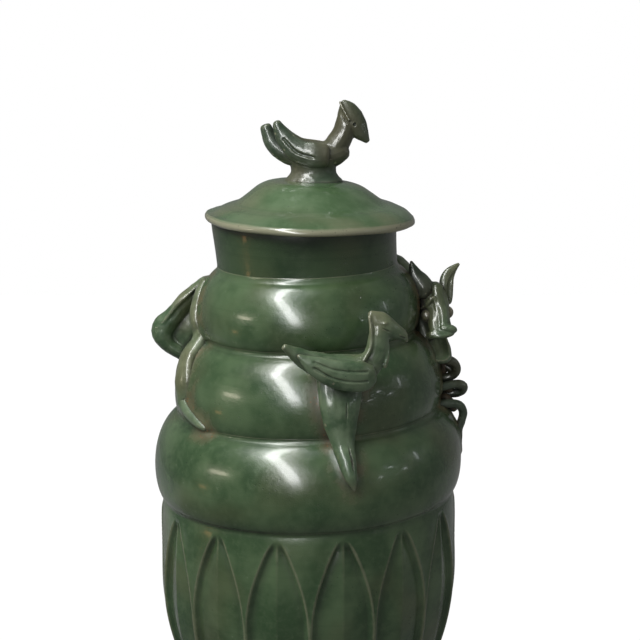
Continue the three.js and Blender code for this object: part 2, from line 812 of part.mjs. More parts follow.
piece(
  "dragon_head",
  cut(
    skull,
    headPart(dragonHead.horn, lutingGap),
    headPart(dragonHead.ear, lutingGap),
    eyeball(1, lutingGap),
    eyeball(-1, lutingGap),
    pot,
  ),
  figureGlaze,
);
piece(
  "dragon_lower_jaw",
  cut(headPart(dragonHead.jaw), headPart(dragonHead.jawHollow), grownSkull, pot),
  figureGlaze,
);
piece("dragon_left_horn", cut(leftHorn, pot), figureGlaze);
piece("dragon_right_ear", cut(rightEar, pot), figureGlaze);
piece("dragon_left_eye", cut(eyeball(1), pot), eyeGlaze);
piece("dragon_right_eye", cut(eyeball(-1), pot), eyeGlaze);
piece(
  "dragon_body",
  cut(
    wrappedPart(dragonCoil, upperTier.base),
    grownSkull,
    grownJaw,
    headPart(dragonHead.horn, lutingGap),
    eyeball(1, lutingGap),
    pot,
  ),
  figureGlaze,
);
piece("dragon_tail", cut(wrappedPart(dragonTail, middleTier.base), grownCoil, pot), figureGlaze);
piece("dragon_back_leg", cut(wrappedPart(dragonBackLeg, middleTier.base), grownCoil, pot), figureGlaze);
piece("dragon_hind_leg", cut(hindLeg(), grownCoil, pot), figureGlaze);
piece(
  "dragon_foreleg",
  cut(
    wrappedPart(dragonForeleg, upperTier.base),
    grownCoil,
    hindLeg(lutingGap),
    wrappedPart(dragonForepaw, middleTier.base, lutingGap),
    pot,
  ),
  figureGlaze,
);
piece("dragon_forepaw", cut(wrappedPart(dragonForepaw, middleTier.base), pot), figureGlaze);
const grownUpperScroll = scroll(upperScroll, { inner: upperInner, grow: lutingGap });
const grownMiddleScroll = scroll(middleScroll, { grow: lutingGap });
piece(
  "beard_scroll_upper",
  cut(scroll(upperScroll, { inner: upperInner }), grownJaw, grownSkull, pot),
  scrollGlaze,
);
piece("beard_scroll_middle", cut(scroll(middleScroll), grownUpperScroll, pot), scrollGlaze);
piece(
  "beard_scroll_lower",
  cut(scroll(lowerScroll, { inner: lowerInner }), grownMiddleScroll, pot),
  scrollGlaze,
);

piece("lid_dome", lidDome(), lidGlaze);
piece("lid_flange", lidFlange(), lidGlaze);
const finialWing = (side, grow = 0) => finialPart(finialBird.wing, { side, grow });
const grownFinialWings = [finialWing(1, lutingGap), finialWing(-1, lutingGap)];
piece(
  "finial_pedestal",
  cut(pedestal(), lidForm(), finialTorso(lutingGap), ...grownFinialWings),
  figureGlaze,
);
piece("finial_bird_body", cut(finialTorso(), ...grownFinialWings), figureGlaze);
piece("finial_bird_near_wing", finialWing(1), figureGlaze);
piece("finial_bird_far_wing", finialWing(-1), figureGlaze);

export default root;
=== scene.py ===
import json
import math
import re

import bmesh
import bpy
from mathutils import Matrix, Vector
from mathutils.bvhtree import BVHTree


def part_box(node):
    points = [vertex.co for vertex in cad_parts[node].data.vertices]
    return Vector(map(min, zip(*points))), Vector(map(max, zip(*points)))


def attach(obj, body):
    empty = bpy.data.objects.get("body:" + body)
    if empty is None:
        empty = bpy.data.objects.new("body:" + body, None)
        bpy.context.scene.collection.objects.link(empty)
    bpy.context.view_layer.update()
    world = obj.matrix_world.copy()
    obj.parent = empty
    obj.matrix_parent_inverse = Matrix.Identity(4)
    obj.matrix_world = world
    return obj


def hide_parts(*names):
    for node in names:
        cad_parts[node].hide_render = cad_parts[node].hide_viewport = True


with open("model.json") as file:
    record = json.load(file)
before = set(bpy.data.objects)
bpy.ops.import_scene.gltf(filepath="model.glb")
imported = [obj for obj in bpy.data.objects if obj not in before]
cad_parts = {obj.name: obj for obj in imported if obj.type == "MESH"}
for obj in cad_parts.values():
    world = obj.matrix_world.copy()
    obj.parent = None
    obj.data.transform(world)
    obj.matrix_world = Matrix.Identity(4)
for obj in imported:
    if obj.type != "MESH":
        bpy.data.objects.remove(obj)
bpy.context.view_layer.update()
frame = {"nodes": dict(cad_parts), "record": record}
mm = 0.001
print("frame loaded:", len(frame["nodes"]), "nodes")


# Places, in millimetres

def boxOf(node):
    low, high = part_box(node)
    return low / mm, high / mm


def outwards(azimuth):  # degrees from the front towards +X
    turn = math.radians(azimuth)
    return Vector((math.sin(turn), -math.cos(turn), 0))


def awayFromAxis(point):
    return Vector((point.x, point.y, 0)).normalized()


def sideways(point):
    return Vector((0, 1, 0))


def smoothstep(value, low, high):
    share = min(1, max(0, (value - low) / (high - low)))
    return share * share * (3 - 2 * share)


# Thrown swellings. Falls say how hollow the curve is below and above the belly.

def swelling(node, shoulder, foot, bellyHeight, footFall, shoulderFall):
    low, high = boxOf(node)
    return {
        "base": low.z, "top": high.z, "belly": high.x, "bellyHeight": bellyHeight,
        "foot": foot, "shoulder": shoulder, "footFall": footFall, "shoulderFall": shoulderFall,
    }


lowerBody = swelling("lower_body", 70.3, 49, 68, 1.6, 1)
lowerBody["belly"] = 73.5  # the petals are carved into it
lowerTier = swelling("lower_tier", 61.5, 71.1, 13.8, 1, 1.1)
middleTier = swelling("middle_tier", 48.4, 62.3, 9.6, 1, 1.15)
upperTier = swelling("upper_tier", 43.5, 49.2, 9.9, 0.8, 1.4)
swellings = [lowerBody, lowerTier, middleTier, upperTier]


def swellRadius(form, height):
    aboveBelly = height - form["base"] - form["bellyHeight"]
    if aboveBelly < 0:
        end, span, fall = form["foot"], form["bellyHeight"], form["footFall"]
    else:
        end, fall = form["shoulder"], form["shoulderFall"]
        span = form["top"] - form["base"] - form["bellyHeight"]
    rise = min(1, abs(aboveBelly) / span)
    return end + (form["belly"] - end) * math.sqrt(1 - rise * rise) ** fall


def wallRadius(height):
    for form in swellings:
        if height < form["top"]:
            return swellRadius(form, height)
    return upperTier["shoulder"]


def swellOutline(form, rowsBelow, rowsAbove):
    points = []
    for row in range(-rowsBelow, rowsAbove + 1):
        rows = rowsBelow if row < 0 else rowsAbove
        span = form["bellyHeight"] if row < 0 else form["top"] - form["base"] - form["bellyHeight"]
        height = form["base"] + form["bellyHeight"] + span * math.sin(row / rows * math.pi / 2)
        points.append((swellRadius(form, height), height))
    return points


def glazeFillet(lower, upper, radius):  # hollow of pooled glaze between two outlines, tangent to both
    def offset(points):
        moved = []
        for before, here, after in zip(points, points[1:], points[2:]):
            along = Vector((after[0] - before[0], after[1] - before[1])).normalized()
            moved.append((Vector(here) + Vector((along.y, -along.x)) * radius, Vector(here)))
        return moved
    pairs = [(low, high) for low in offset(lower) for high in offset(upper)]
    low, high = min(pairs, key=lambda pair: (pair[0][0] - pair[1][0]).length)
    centre = (low[0] + high[0]) / 2
    start, end = low[1] - centre, high[1] - centre
    turn = start.angle_signed(end)
    arc, steps = [], 8
    for step in range(steps + 1):
        spoke = start.copy()
        spoke.rotate(Matrix.Rotation(-turn * step / steps, 2))
        arc.append(tuple(centre + spoke * (1 + (end.length / start.length - 1) * step / steps)))
    kept = [point for point in lower if point[1] < low[1].y - 0.05]
    return kept + arc, arc[-1]


# Modelling by hand

def selectOnly(*objects):
    bpy.ops.object.select_all(action="DESELECT")
    for each in objects:
        each.select_set(True)
    bpy.context.view_layer.objects.active = objects[0]


def turnOnWheel(name, outline, columns):  # outline of (radius, height) pairs, closed on itself
    bpy.ops.object.select_all(action="DESELECT")
    bpy.ops.mesh.primitive_plane_add(size=mm)
    form = bpy.context.object
    form.name = name
    bpy.ops.object.mode_set(mode="EDIT")
    bpy.ops.mesh.select_all(action="SELECT")
    bpy.ops.mesh.merge(type="CENTER")
    points = [Vector((radius, 0, height)) * mm for radius, height in outline]
    bpy.ops.transform.translate(value=points[0])
    for here, there in zip(points, points[1:] + points[:1]):
        bpy.ops.mesh.extrude_region_move(TRANSFORM_OT_translate={"value": there - here})
    bpy.ops.mesh.select_all(action="SELECT")
    bpy.ops.mesh.remove_doubles(threshold=0.01 * mm)
    bpy.ops.mesh.spin(steps=columns, angle=2 * math.pi, center=(0, 0, 0), axis=(0, 0, 1))
    bpy.ops.mesh.select_all(action="SELECT")
    bpy.ops.mesh.remove_doubles(threshold=0.01 * mm)
    bpy.ops.mesh.normals_make_consistent(inside=False)
    bpy.ops.object.mode_set(mode="OBJECT")
    return form


def smoothLine(stations, spacing):  # stations of (centre, half across, half through)
    values = [(*centre, across, through) for centre, across, through in stations]
    gaps = [max(0.1, (b[0] - a[0]).length) for a, b in zip(stations, stations[1:])]
    slopes = []
    for i in range(len(values)):
        before, after = max(0, i - 1), min(len(values) - 1, i + 1)
        if before == i or after == i:
            gap = gaps[0] if before == i else gaps[-1]
            slopes.append([(b - a) / gap for a, b in zip(values[before], values[after])])
            continue
        left, right = gaps[i - 1], gaps[i]
        slopes.append([
            ((b - a) / left * right + (c - b) / right * left) / (left + right)
            for a, b, c in zip(values[before], values[i], values[after])
        ])
    rings = []
    for i, gap in enumerate(gaps):
        steps = max(1, round(gap / spacing))
        for step in range(steps + (i == len(gaps) - 1)):
            t = step / steps
            weights = (2 * t**3 - 3 * t**2 + 1, t**3 - 2 * t**2 + t, -2 * t**3 + 3 * t**2, t**3 - t**2)
            row = [
                weights[0] * a + weights[1] * gap * sa + weights[2] * b + weights[3] * gap * sb
                for a, sa, b, sb in zip(values[i], slopes[i], values[i + 1], slopes[i + 1])
            ]
            rings.append((Vector(row[:3]), max(0.2, row[3]), max(0.2, row[4])))
    return rings


def rollClay(name, stations, throughDirection, sides=16, spacing=1.6, roundEnd=0.5):
    rings = smoothLine(stations, spacing)
    last = len(rings) - 1
    places = [
        (centre, (rings[min(i + 1, last)][0] - rings[max(i - 1, 0)][0]).normalized(), across, through)
        for i, (centre, across, through) in enumerate(rings)
    ]
    ends = []
    for angle in (35, 65, 85):  # both ends are rounded off
        reach, share = math.sin(math.radians(angle)), math.cos(math.radians(angle))
        ends.append([
            (centre + along * way * reach * roundEnd * through, along, across * share, through * share)
            for way, (centre, along, across, through) in ((-1, places[0]), (1, places[-1]))
        ])
    places = [start for start, _ in reversed(ends)] + places + [end for _, end in ends]

    bpy.ops.object.select_all(action="DESELECT")
    bpy.ops.mesh.primitive_circle_add(vertices=sides, radius=mm)
    form = bpy.context.object
    form.name = name
    bpy.ops.object.mode_set(mode="EDIT")
    bpy.ops.mesh.delete(type="VERT")
    for centre, along, across, through in places:
        outer = throughDirection(centre)
        outer = (outer - along * outer.dot(along)).normalized()
        side = outer.cross(along)
        facing = Matrix((side, outer, along)).transposed()
        bpy.ops.mesh.primitive_circle_add(
            vertices=sides, radius=mm, location=centre * mm, rotation=facing.to_euler(),
        )
        bpy.ops.transform.resize(
            value=(across, through, 1), center_override=centre * mm,
            orient_type="GLOBAL", orient_matrix=facing, orient_matrix_type="GLOBAL",
        )

    def pickRings(first, count):
        bpy.ops.mesh.select_all(action="DESELECT")
        mesh = bmesh.from_edit_mesh(form.data)
        mesh.verts.ensure_lookup_table()
        for i in range(first * sides, (first + count) * sides):
            mesh.verts[i].select = True
        mesh.select_flush(True)

    for ring in range(len(places) - 1):
        pickRings(ring, 2)
        bpy.ops.mesh.bridge_edge_loops()
    for ring in (0, len(places) - 1):
        pickRings(ring, 1)
        bpy.ops.mesh.edge_face_add()
    bpy.ops.mesh.select_all(action="SELECT")
    bpy.ops.mesh.normals_make_consistent(inside=False)
    bpy.ops.object.mode_set(mode="OBJECT")
    return form


def rollParts(piece, parts, place, direction, sides=16, spacing=1.6):
    return [rollClay(part, place(piece[part]), direction, sides, spacing) for part in parts]


def pressBall(name, centre, radius, squash=(1, 1, 1)):
    bpy.ops.object.select_all(action="DESELECT")
    bpy.ops.mesh.primitive_uv_sphere_add(
        segments=24, ring_count=16, radius=radius * mm, location=centre * mm, scale=squash,
    )
    bpy.ops.object.transform_apply(location=True, rotation=True, scale=True)
    bpy.context.object.name = name
    return bpy.context.object


def applyModifier(form, kind, **settings):
    selectOnly(form)
    modifier = form.modifiers.new(kind.title(), kind)
    for name, value in settings.items():
        setattr(modifier, name, value)
    bpy.ops.object.modifier_apply(modifier=modifier.name)


def cutAway(form, cutters):
    for cutter in cutters:
        applyModifier(form, "BOOLEAN", operation="DIFFERENCE", object=cutter, solver="EXACT")
        bpy.data.objects.remove(cutter)


def lumps(name, size):
    texture = bpy.data.textures.new(name, "CLOUDS")
    texture.noise_scale = size * mm
    texture.noise_depth = 1
    return texture


handLumps = lumps("handLumps", 9)
fingerLumps = lumps("fingerLumps", 3.5)
wheelWobble = lumps("wheelWobble", 45)


def workTogether(name, rolls, voxel=0.5, passes=6, unevenness=0.5):  # lumps of clay worked into one
    selectOnly(*rolls)
    bpy.ops.object.join()
    form = bpy.context.object
    form.name = name
    applyModifier(form, "REMESH", mode="VOXEL", voxel_size=voxel * mm, use_smooth_shade=True)
    applyModifier(form, "SMOOTH", factor=0.5, iterations=passes)
    applyModifier(form, "DISPLACE", texture=handLumps, strength=unevenness * mm, mid_level=0.5)
    applyModifier(form, "DISPLACE", texture=fingerLumps, strength=unevenness * 0.4 * mm, mid_level=0.5)
    return form


def finishPiece(form, body, material):  # a piece that is named as a node, in camelCase, replaces it
    node = re.sub("([A-Z])", r"_\1", form.name).lower()
    selectOnly(form)
    bpy.ops.object.shade_smooth()
    form.data.materials.clear()
    form.data.materials.append(material)
    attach(form, body)
    if node in slotOf:
        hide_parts(node)
    if body == "jar":
        figuresOnJar.append(form)
    print("piece", form.name, len(form.data.polygons))


slotOf = {part["node"]: part["material_slot"] for part in frame["record"]["subparts"]}
figuresOnJar = []


# Finishes

class Wire:  # an output of a node; arithmetic on it adds Math nodes
    def __init__(self, sheet, socket):
        self.sheet = sheet
        self.socket = socket

    def maths(self, operation, first, second):
        return self.sheet.node("Math", {"operation": operation}, {0: first, 1: second})

    def __add__(self, other):
        return self.maths("ADD", self, other)

    def __radd__(self, other):
        return self.maths("ADD", other, self)

    def __sub__(self, other):
        return self.maths("SUBTRACT", self, other)

    def __rsub__(self, other):
        return self.maths("SUBTRACT", other, self)

    def __mul__(self, other):
        return self.maths("MULTIPLY", self, other)

    def __pow__(self, other):
        return self.maths("POWER", self, other)


class NodeSheet:
    def __init__(self, tree):
        self.tree = tree
        tree.nodes.clear()

    def node(self, kind, settings=None, sockets=None, output=0):
        made = self.tree.nodes.new("ShaderNode" + kind)
        for name, value in (settings or {}).items():
            setattr(made, name, value)
        for name, value in (sockets or {}).items():
            if isinstance(value, Wire):
                self.tree.links.new(value.socket, made.inputs[name])
            else:
                made.inputs[name].default_value = value
        if made.outputs:
            return Wire(self, made.outputs[output])

    def along(self, axis, vector):
        return self.node("SeparateXYZ", {}, {0: vector}, axis)

    def noise(self, place, size, detail=2, roughness=0.5):  # size in millimetres
        return self.node("TexNoise", {}, {
            "Vector": place, "Scale": 1 / (size * mm), "Detail": detail, "Roughness": roughness,
        })

    def spots(self, place, spacing):  # distance to the nearest spot, as a share of the spacing
        return self.node("TexVoronoi", {}, {"Vector": place, "Scale": 1 / (spacing * mm)}, "Distance")

    def step(self, value, low, high):
        return self.node("MapRange", {"interpolation_type": "SMOOTHSTEP"}, {
            "Value": value, "From Min": low, "From Max": high,
        })

    def mix(self, factor, first, second):
        return self.node("Mix", {"data_type": "RGBA"}, {0: factor, 6: first, 7: second}, 2)


def tone(red, green, blue):  # a colour as a screen shows it, 0 to 255
    def linear(value):
        value /= 255
        return value / 12.92 if value <= 0.04045 else ((value + 0.055) / 1.055) ** 2.4
    return (linear(red), linear(green), linear(blue), 1)


def celadon(name, look):
    material = bpy.data.materials.new(name)
    material.use_nodes = True
    sheet = NodeSheet(material.node_tree)
    place = sheet.node("TexCoord", output="Object")
    across = sheet.along("X", place) - look["centre"] * mm
    back = sheet.along("Y", place)
    reach = (across * across + back * back) ** 0.5

    cloud = sheet.noise(place, look["cloudSize"], 3, 0.55)
    drift = sheet.noise(place, 33, 1)
    mottle = sheet.noise(place, 3.6, 3, 0.65)
    patch = sheet.noise(place, 13, 2)
    colour = sheet.mix(sheet.step(cloud, 0.36, 0.66), look["deep"], look["pale"])
    colour = sheet.mix(sheet.step(mottle, 0.42, 0.72) * 0.4, colour, look["pale"])
    colour = sheet.mix(sheet.step(drift, 0.48, 0.7) * look["olive"], colour, look["oliveTone"])

    turned = sheet.along("Z", place) * (1 - look["radial"]) + reach * look["radial"]
    thrown = sheet.node("TexNoise", {"noise_dimensions": "1D"}, {
        "W": turned, "Scale": 380, "Detail": 2, "Roughness": 0.6,
    })
    colour = sheet.mix(sheet.step(thrown, 0.5, 0.8) * look["throwing"], colour, look["deep"])

    ridge = sheet.node("NewGeometry", output="Pointiness")
    worn = sheet.step(ridge + mottle * 0.03, 0.52, 0.58)
    colour = sheet.mix(worn * look["thin"], colour, look["buff"])
    steep = sheet.step(0 - sheet.along("Z", sheet.node("NewGeometry", output="True Normal")), -0.75, -0.45)
    edge = sheet.step(reach, look["edge"] * mm, (look["edge"] + 1) * mm) * steep
    colour = sheet.mix(edge * 0.85, colour, look["buff"])

    shelter = 1 - sheet.node("AmbientOcclusion", {"samples": 4}, {"Distance": look["shelter"] * mm}, "AO")
    # Ambient occlusion pulls creases, hollows and the joints between pieces towards the dark pool tone:
    # painted shade, partly pooled glaze. There the glaze is also rougher and its coat thinner.
    pooledGlazeAndPaintedShade = sheet.step(shelter, 0.12, 0.42)
    colour = sheet.mix(pooledGlazeAndPaintedShade * 0.85, colour, look["poolShadeAndPitTone"])

    nearby = sheet.node("Attribute", {"attribute_name": "nearFigure"}, {}, "Fac")
    grit = sheet.noise(place, 0.8, 3, 0.75)
    dust = sheet.step(nearby, 0.1, 0.75) * sheet.step(patch + mottle * 0.3, 0.5, 0.75)
    colour = sheet.mix(dust * look["dust"], colour, look["dustTone"])
    dirt = sheet.step(shelter, 0.25, 0.6) * sheet.step(grit, 0.46, 0.6) * sheet.step(patch, 0.42, 0.6)
    close = sheet.step(nearby, 0.55, 0.95) * sheet.step(grit, 0.5, 0.62) * sheet.step(patch, 0.44, 0.6)
    dirt = dirt + close * 0.7
    colour = sheet.mix(dirt * look["dirt"], colour, look["earth"])

    speck = (1 - sheet.step(sheet.spots(place, 1.6), 0.12, 0.26)) * sheet.step(patch, 0.52, 0.62)
    speck = speck * sheet.step(nearby, 0.35, 0.7)
    colour = sheet.mix(speck * look["dirt"], colour, tone(150, 92, 40))

    pit = 1 - sheet.step(sheet.spots(place, 1.9), 0.07, 0.17)
    scarce = sheet.step(sheet.noise(place, 15, 2), 0.53, 0.66) + edge * 0.8
    colour = sheet.mix(pit * scarce * 0.7, colour, look["poolShadeAndPitTone"])

    peel = sheet.noise(place, 1.7, 2) * 0.5 + sheet.noise(place, 0.5, 1) * 0.9
    relief = peel + thrown * look["throwing"] * 2 - pit * scarce * 1.4
    bump = sheet.node("Bump", {}, {"Strength": 1, "Distance": look["bump"] * mm, "Height": relief})

    rough = look["gloss"] + sheet.step(mottle, 0.35, 0.8) * 0.08 + dirt * 0.3 + dust * 0.12 + pooledGlazeAndPaintedShade * 0.35
    shader = sheet.node("BsdfPrincipled", {}, {
        "Base Color": colour, "Roughness": rough, "Normal": bump, "IOR": 1.5,
        "Coat Weight": (1 - pooledGlazeAndPaintedShade) * look["coat"], "Coat Roughness": 0.07,
    })
    sheet.node("OutputMaterial", {}, {"Surface": shader})
    return material


# Tones: deep and pale glaze, olive drifts, pooled glaze darkened further as painted shade in creases and
# joints, buff where it is thin, and dust and earth near the figures. In millimetres: cloudSize, shelter,
# bump, and edge, the radius from which a rim is worn.
jarLook = {
    "deep": tone(55, 81, 50), "pale": tone(87, 110, 76), "olive": 0.4, "oliveTone": tone(88, 92, 62),
    "poolShadeAndPitTone": tone(22, 36, 20), "buff": tone(142, 142, 116), "thin": 0.6, "cloudSize": 24, "throwing": 0.14,
    "earth": tone(96, 76, 52), "dirt": 0.75, "dust": 0.55, "dustTone": tone(104, 96, 70), "shelter": 5,
    "bump": 0.07, "gloss": 0.2, "coat": 0.4, "centre": 0, "radial": 0, "edge": 900,
}
lidLook = jarLook | {
    "deep": tone(76, 104, 68), "pale": tone(102, 126, 92), "oliveTone": tone(120, 122, 94), "olive": 0.5,
    "buff": tone(160, 158, 132), "thin": 0.7, "throwing": 0.3, "gloss": 0.17, "bump": 0.03,
    "centre": 1, "radial": 1, "edge": 48.8,
}
# Darker glaze tones on the neck: painted shadow of the lid's brim.
neckPaintedShadeLook = jarLook | {"deep": tone(44, 66, 40), "pale": tone(64, 85, 56), "throwing": 0.25}
figureLook = jarLook | {
    "deep": tone(66, 92, 62), "pale": tone(108, 128, 98), "cloudSize": 10, "throwing": 0, "shelter": 3.5,
    "thin": 0.85, "oliveTone": tone(126, 118, 88), "olive": 0.5, "gloss": 0.29, "bump": 0.06,
}
darkLook = figureLook | {
    "deep": tone(54, 72, 52), "pale": tone(88, 102, 84), "oliveTone": tone(102, 90, 68),
}
eyeLook = figureLook | {"deep": tone(100, 104, 86), "pale": tone(130, 128, 110), "thin": 0.3}
earthLook = figureLook | {
    "deep": tone(70, 52, 36), "pale": tone(96, 76, 52), "oliveTone": tone(120, 84, 50),
    "gloss": 0.45, "coat": 0.1,
}
clayLook = jarLook | {
    "deep": tone(120, 84, 60), "pale": tone(156, 116, 86), "oliveTone": tone(140, 92, 62),
    "buff": tone(176, 140, 108), "poolShadeAndPitTone": tone(70, 48, 36), "gloss": 0.7, "coat": 0, "bump": 0.12,
}
jarGlaze = celadon("jarGlaze", jarLook)
neckGlaze = celadon("neckGlaze", neckPaintedShadeLook)
lidGlaze = celadon("lidGlaze", lidLook)
figureGlaze = celadon("figureGlaze", figureLook)
darkGlaze = celadon("darkGlaze", darkLook)
eyeGlaze = celadon("eyeGlaze", eyeLook)
earthGlaze = celadon("earthGlaze", earthLook)
bareClay = celadon("bareClay", clayLook)
print("finishes mixed")


# Bird on the front. Rows are along, out, up, half height and half thickness.

perchedBird = {
    "azimuth": 13, "standOff": 3.5, "drop": 5.1, "farWingLift": 0.3,
    "torso": [
        (-26, 0.5, 14.2, 1.4, 1.2), (-21, 0, 10.8, 3.2, 2.4), (-13, -0.6, 6, 5.2, 4),
        (-3, -1, 2.6, 6.2, 5.4), (6, -1, 1.8, 6.6, 5.8), (13, -1, 3.6, 6, 5), (17.8, -1, 6, 3.4, 3),
    ],
    "neck": [
        (12.5, -1, 3.5, 5, 4.2), (16, -0.6, 9.5, 5.2, 4), (16.8, 0, 16, 4.8, 3.6), (17.4, 0, 21, 4.2, 3.2),
    ],
    "head": [
        (12.6, 0, 27.4, 1.3, 1.1), (15.8, 0, 24.4, 4.2, 2.6), (20.4, 0.2, 20.6, 4.6, 3.4),
        (25, 0, 18, 3.2, 2.4), (28.4, 0, 15.8, 2, 1.5), (29.6, 0, 13.8, 0.9, 0.8),
    ],
    "napeRidge": [
        (12.2, 1.2, 26, 0.8, 0.8), (12.8, 2, 20, 1, 1), (12.2, 2.6, 12, 1.1, 1.1), (8.6, 3.6, 6, 1, 1),
    ],
    "throatRidge": [(20.8, 0.8, 13, 0.9, 0.9), (20.4, 1.6, 8, 1, 1), (19, 2, 3, 0.9, 0.9)],
    "beakLine": [(17.5, 3.6, 20.8, 0.45, 0.5), (22, 3.4, 18.4, 0.5, 0.6), (28.4, 1.6, 15.4, 0.4, 0.6)],
    "eye": (18.8, 3, 22.8),
    "wing": [
        (-20, 3.2, 10.4, 1, 0.9), (-14, 4.4, 6.6, 4.2, 1.8), (-5, 5.4, 2.2, 6.2, 2.3),
        (4, 5.9, 0.6, 7, 2.5), (10, 5.6, 0.4, 6.6, 2.3), (12.8, 5, 1, 4.6, 1.9),
    ],
    "feathers": (-0.3, 0.35), "groove": 0.6,
    "lug": [(-3, -20, -7.5, 4, 5), (1, -12, -7, 4.6, 6.5), (4, -4, -4.6, 4.4, 5)],
}


def birdPoint(along, out, up):
    outer = outwards(perchedBird["azimuth"])
    ahead = Vector((-outer.y, outer.x, 0))
    start = outer * (middleTier["belly"] + perchedBird["standOff"])
    return start + ahead * along + outer * out + Vector((0, 0, upperTier["base"] - perchedBird["drop"] + up))


def birdOut(point):
    return outwards(perchedBird["azimuth"])


def birdRows(rows, side=1, lift=0):
    return [(birdPoint(along, side * out, up + lift), high, thick) for along, out, up, high, thick in rows]


def feathers(bird, outer=1):  # rows of the grooves along the outside of a wing
    radius = bird["groove"]
    return [[
        (along, out + outer * thick * math.sqrt(1 - share * share), up + share * high, radius, radius)
        for along, out, up, high, thick in bird["wing"][1:-1]
    ] for share in bird["feathers"]]


def makePerchedBird():
    bird = perchedBird
    rolls = rollParts(bird, ("torso", "neck", "head", "lug"), birdRows, birdOut)
    rolls += rollParts(bird, ("napeRidge", "throatRidge"), birdRows, birdOut, 8)
    rolls.append(pressBall("eyelid", birdPoint(*bird["eye"]), 1.2, (1.2, 0.6, 0.9)))
    body = workTogether("perchedBirdBody", rolls, 0.4, 5)
    cutAway(body, rollParts(bird, ("beakLine",), birdRows, birdOut, 8))
    finishPiece(body, "jar", figureGlaze)

    for side, name in ((1, "perchedBirdNearWing"), (-1, "perchedBirdFarWing")):
        lift = 0 if side > 0 else bird["farWingLift"]
        wing = rollClay("wing", birdRows(bird["wing"], side, lift), birdOut, roundEnd=0.8)
        if side > 0:
            cutAway(wing, [rollClay("feather", birdRows(rows), birdOut, 8) for rows in feathers(bird)])
        finishPiece(workTogether(name, [wing], 0.35, 5), "jar", figureGlaze)


# Hanging leaf of its tail. Rows are azimuth, height above the middle tier's base, distance out from that
# tier's belly, half width and half thickness.
tailDrop = {
    "leaf": [
        (13.4, 30, -1, 10.8, 4), (12.6, 19, 2.4, 9.6, 4.2), (12.8, 9, 3.4, 7.6, 4), (13.4, 0, 5, 5.3, 3.6),
        (14.3, -8.4, 9.8, 3.9, 3), (15.2, -14.6, 11.8, 2.5, 2.2), (15.8, -18.4, 12.2, 0.9, 1.2),
    ],
    "crease": [
        (14.6, 24, 6.4, 0.5, 0.7), (14.2, 10, 8, 0.55, 0.8), (14.8, 0, 9.2, 0.55, 0.8),
        (15.4, -9, 13.2, 0.45, 0.7),
    ],
}


def leafRows(rows):
    belly, base = middleTier["belly"], middleTier["base"]
    return [
        (outwards(azimuth) * (belly + out) + Vector((0, 0, base + up)), wide, thick)
        for azimuth, up, out, wide, thick in rows
    ]


def makeTailDrop():
    leaf = rollClay("leaf", leafRows(tailDrop["leaf"]), awayFromAxis, roundEnd=0.9)
    drop = workTogether("perchedBirdTailDrop", [leaf], 0.45, 6)
    cutAway(drop, rollParts(tailDrop, ("crease",), leafRows, awayFromAxis, 8))
    finishPiece(drop, "jar", figureGlaze)


# Dragon's head. Rows are forward, across to the left as seen from the front, up, half height and half width.

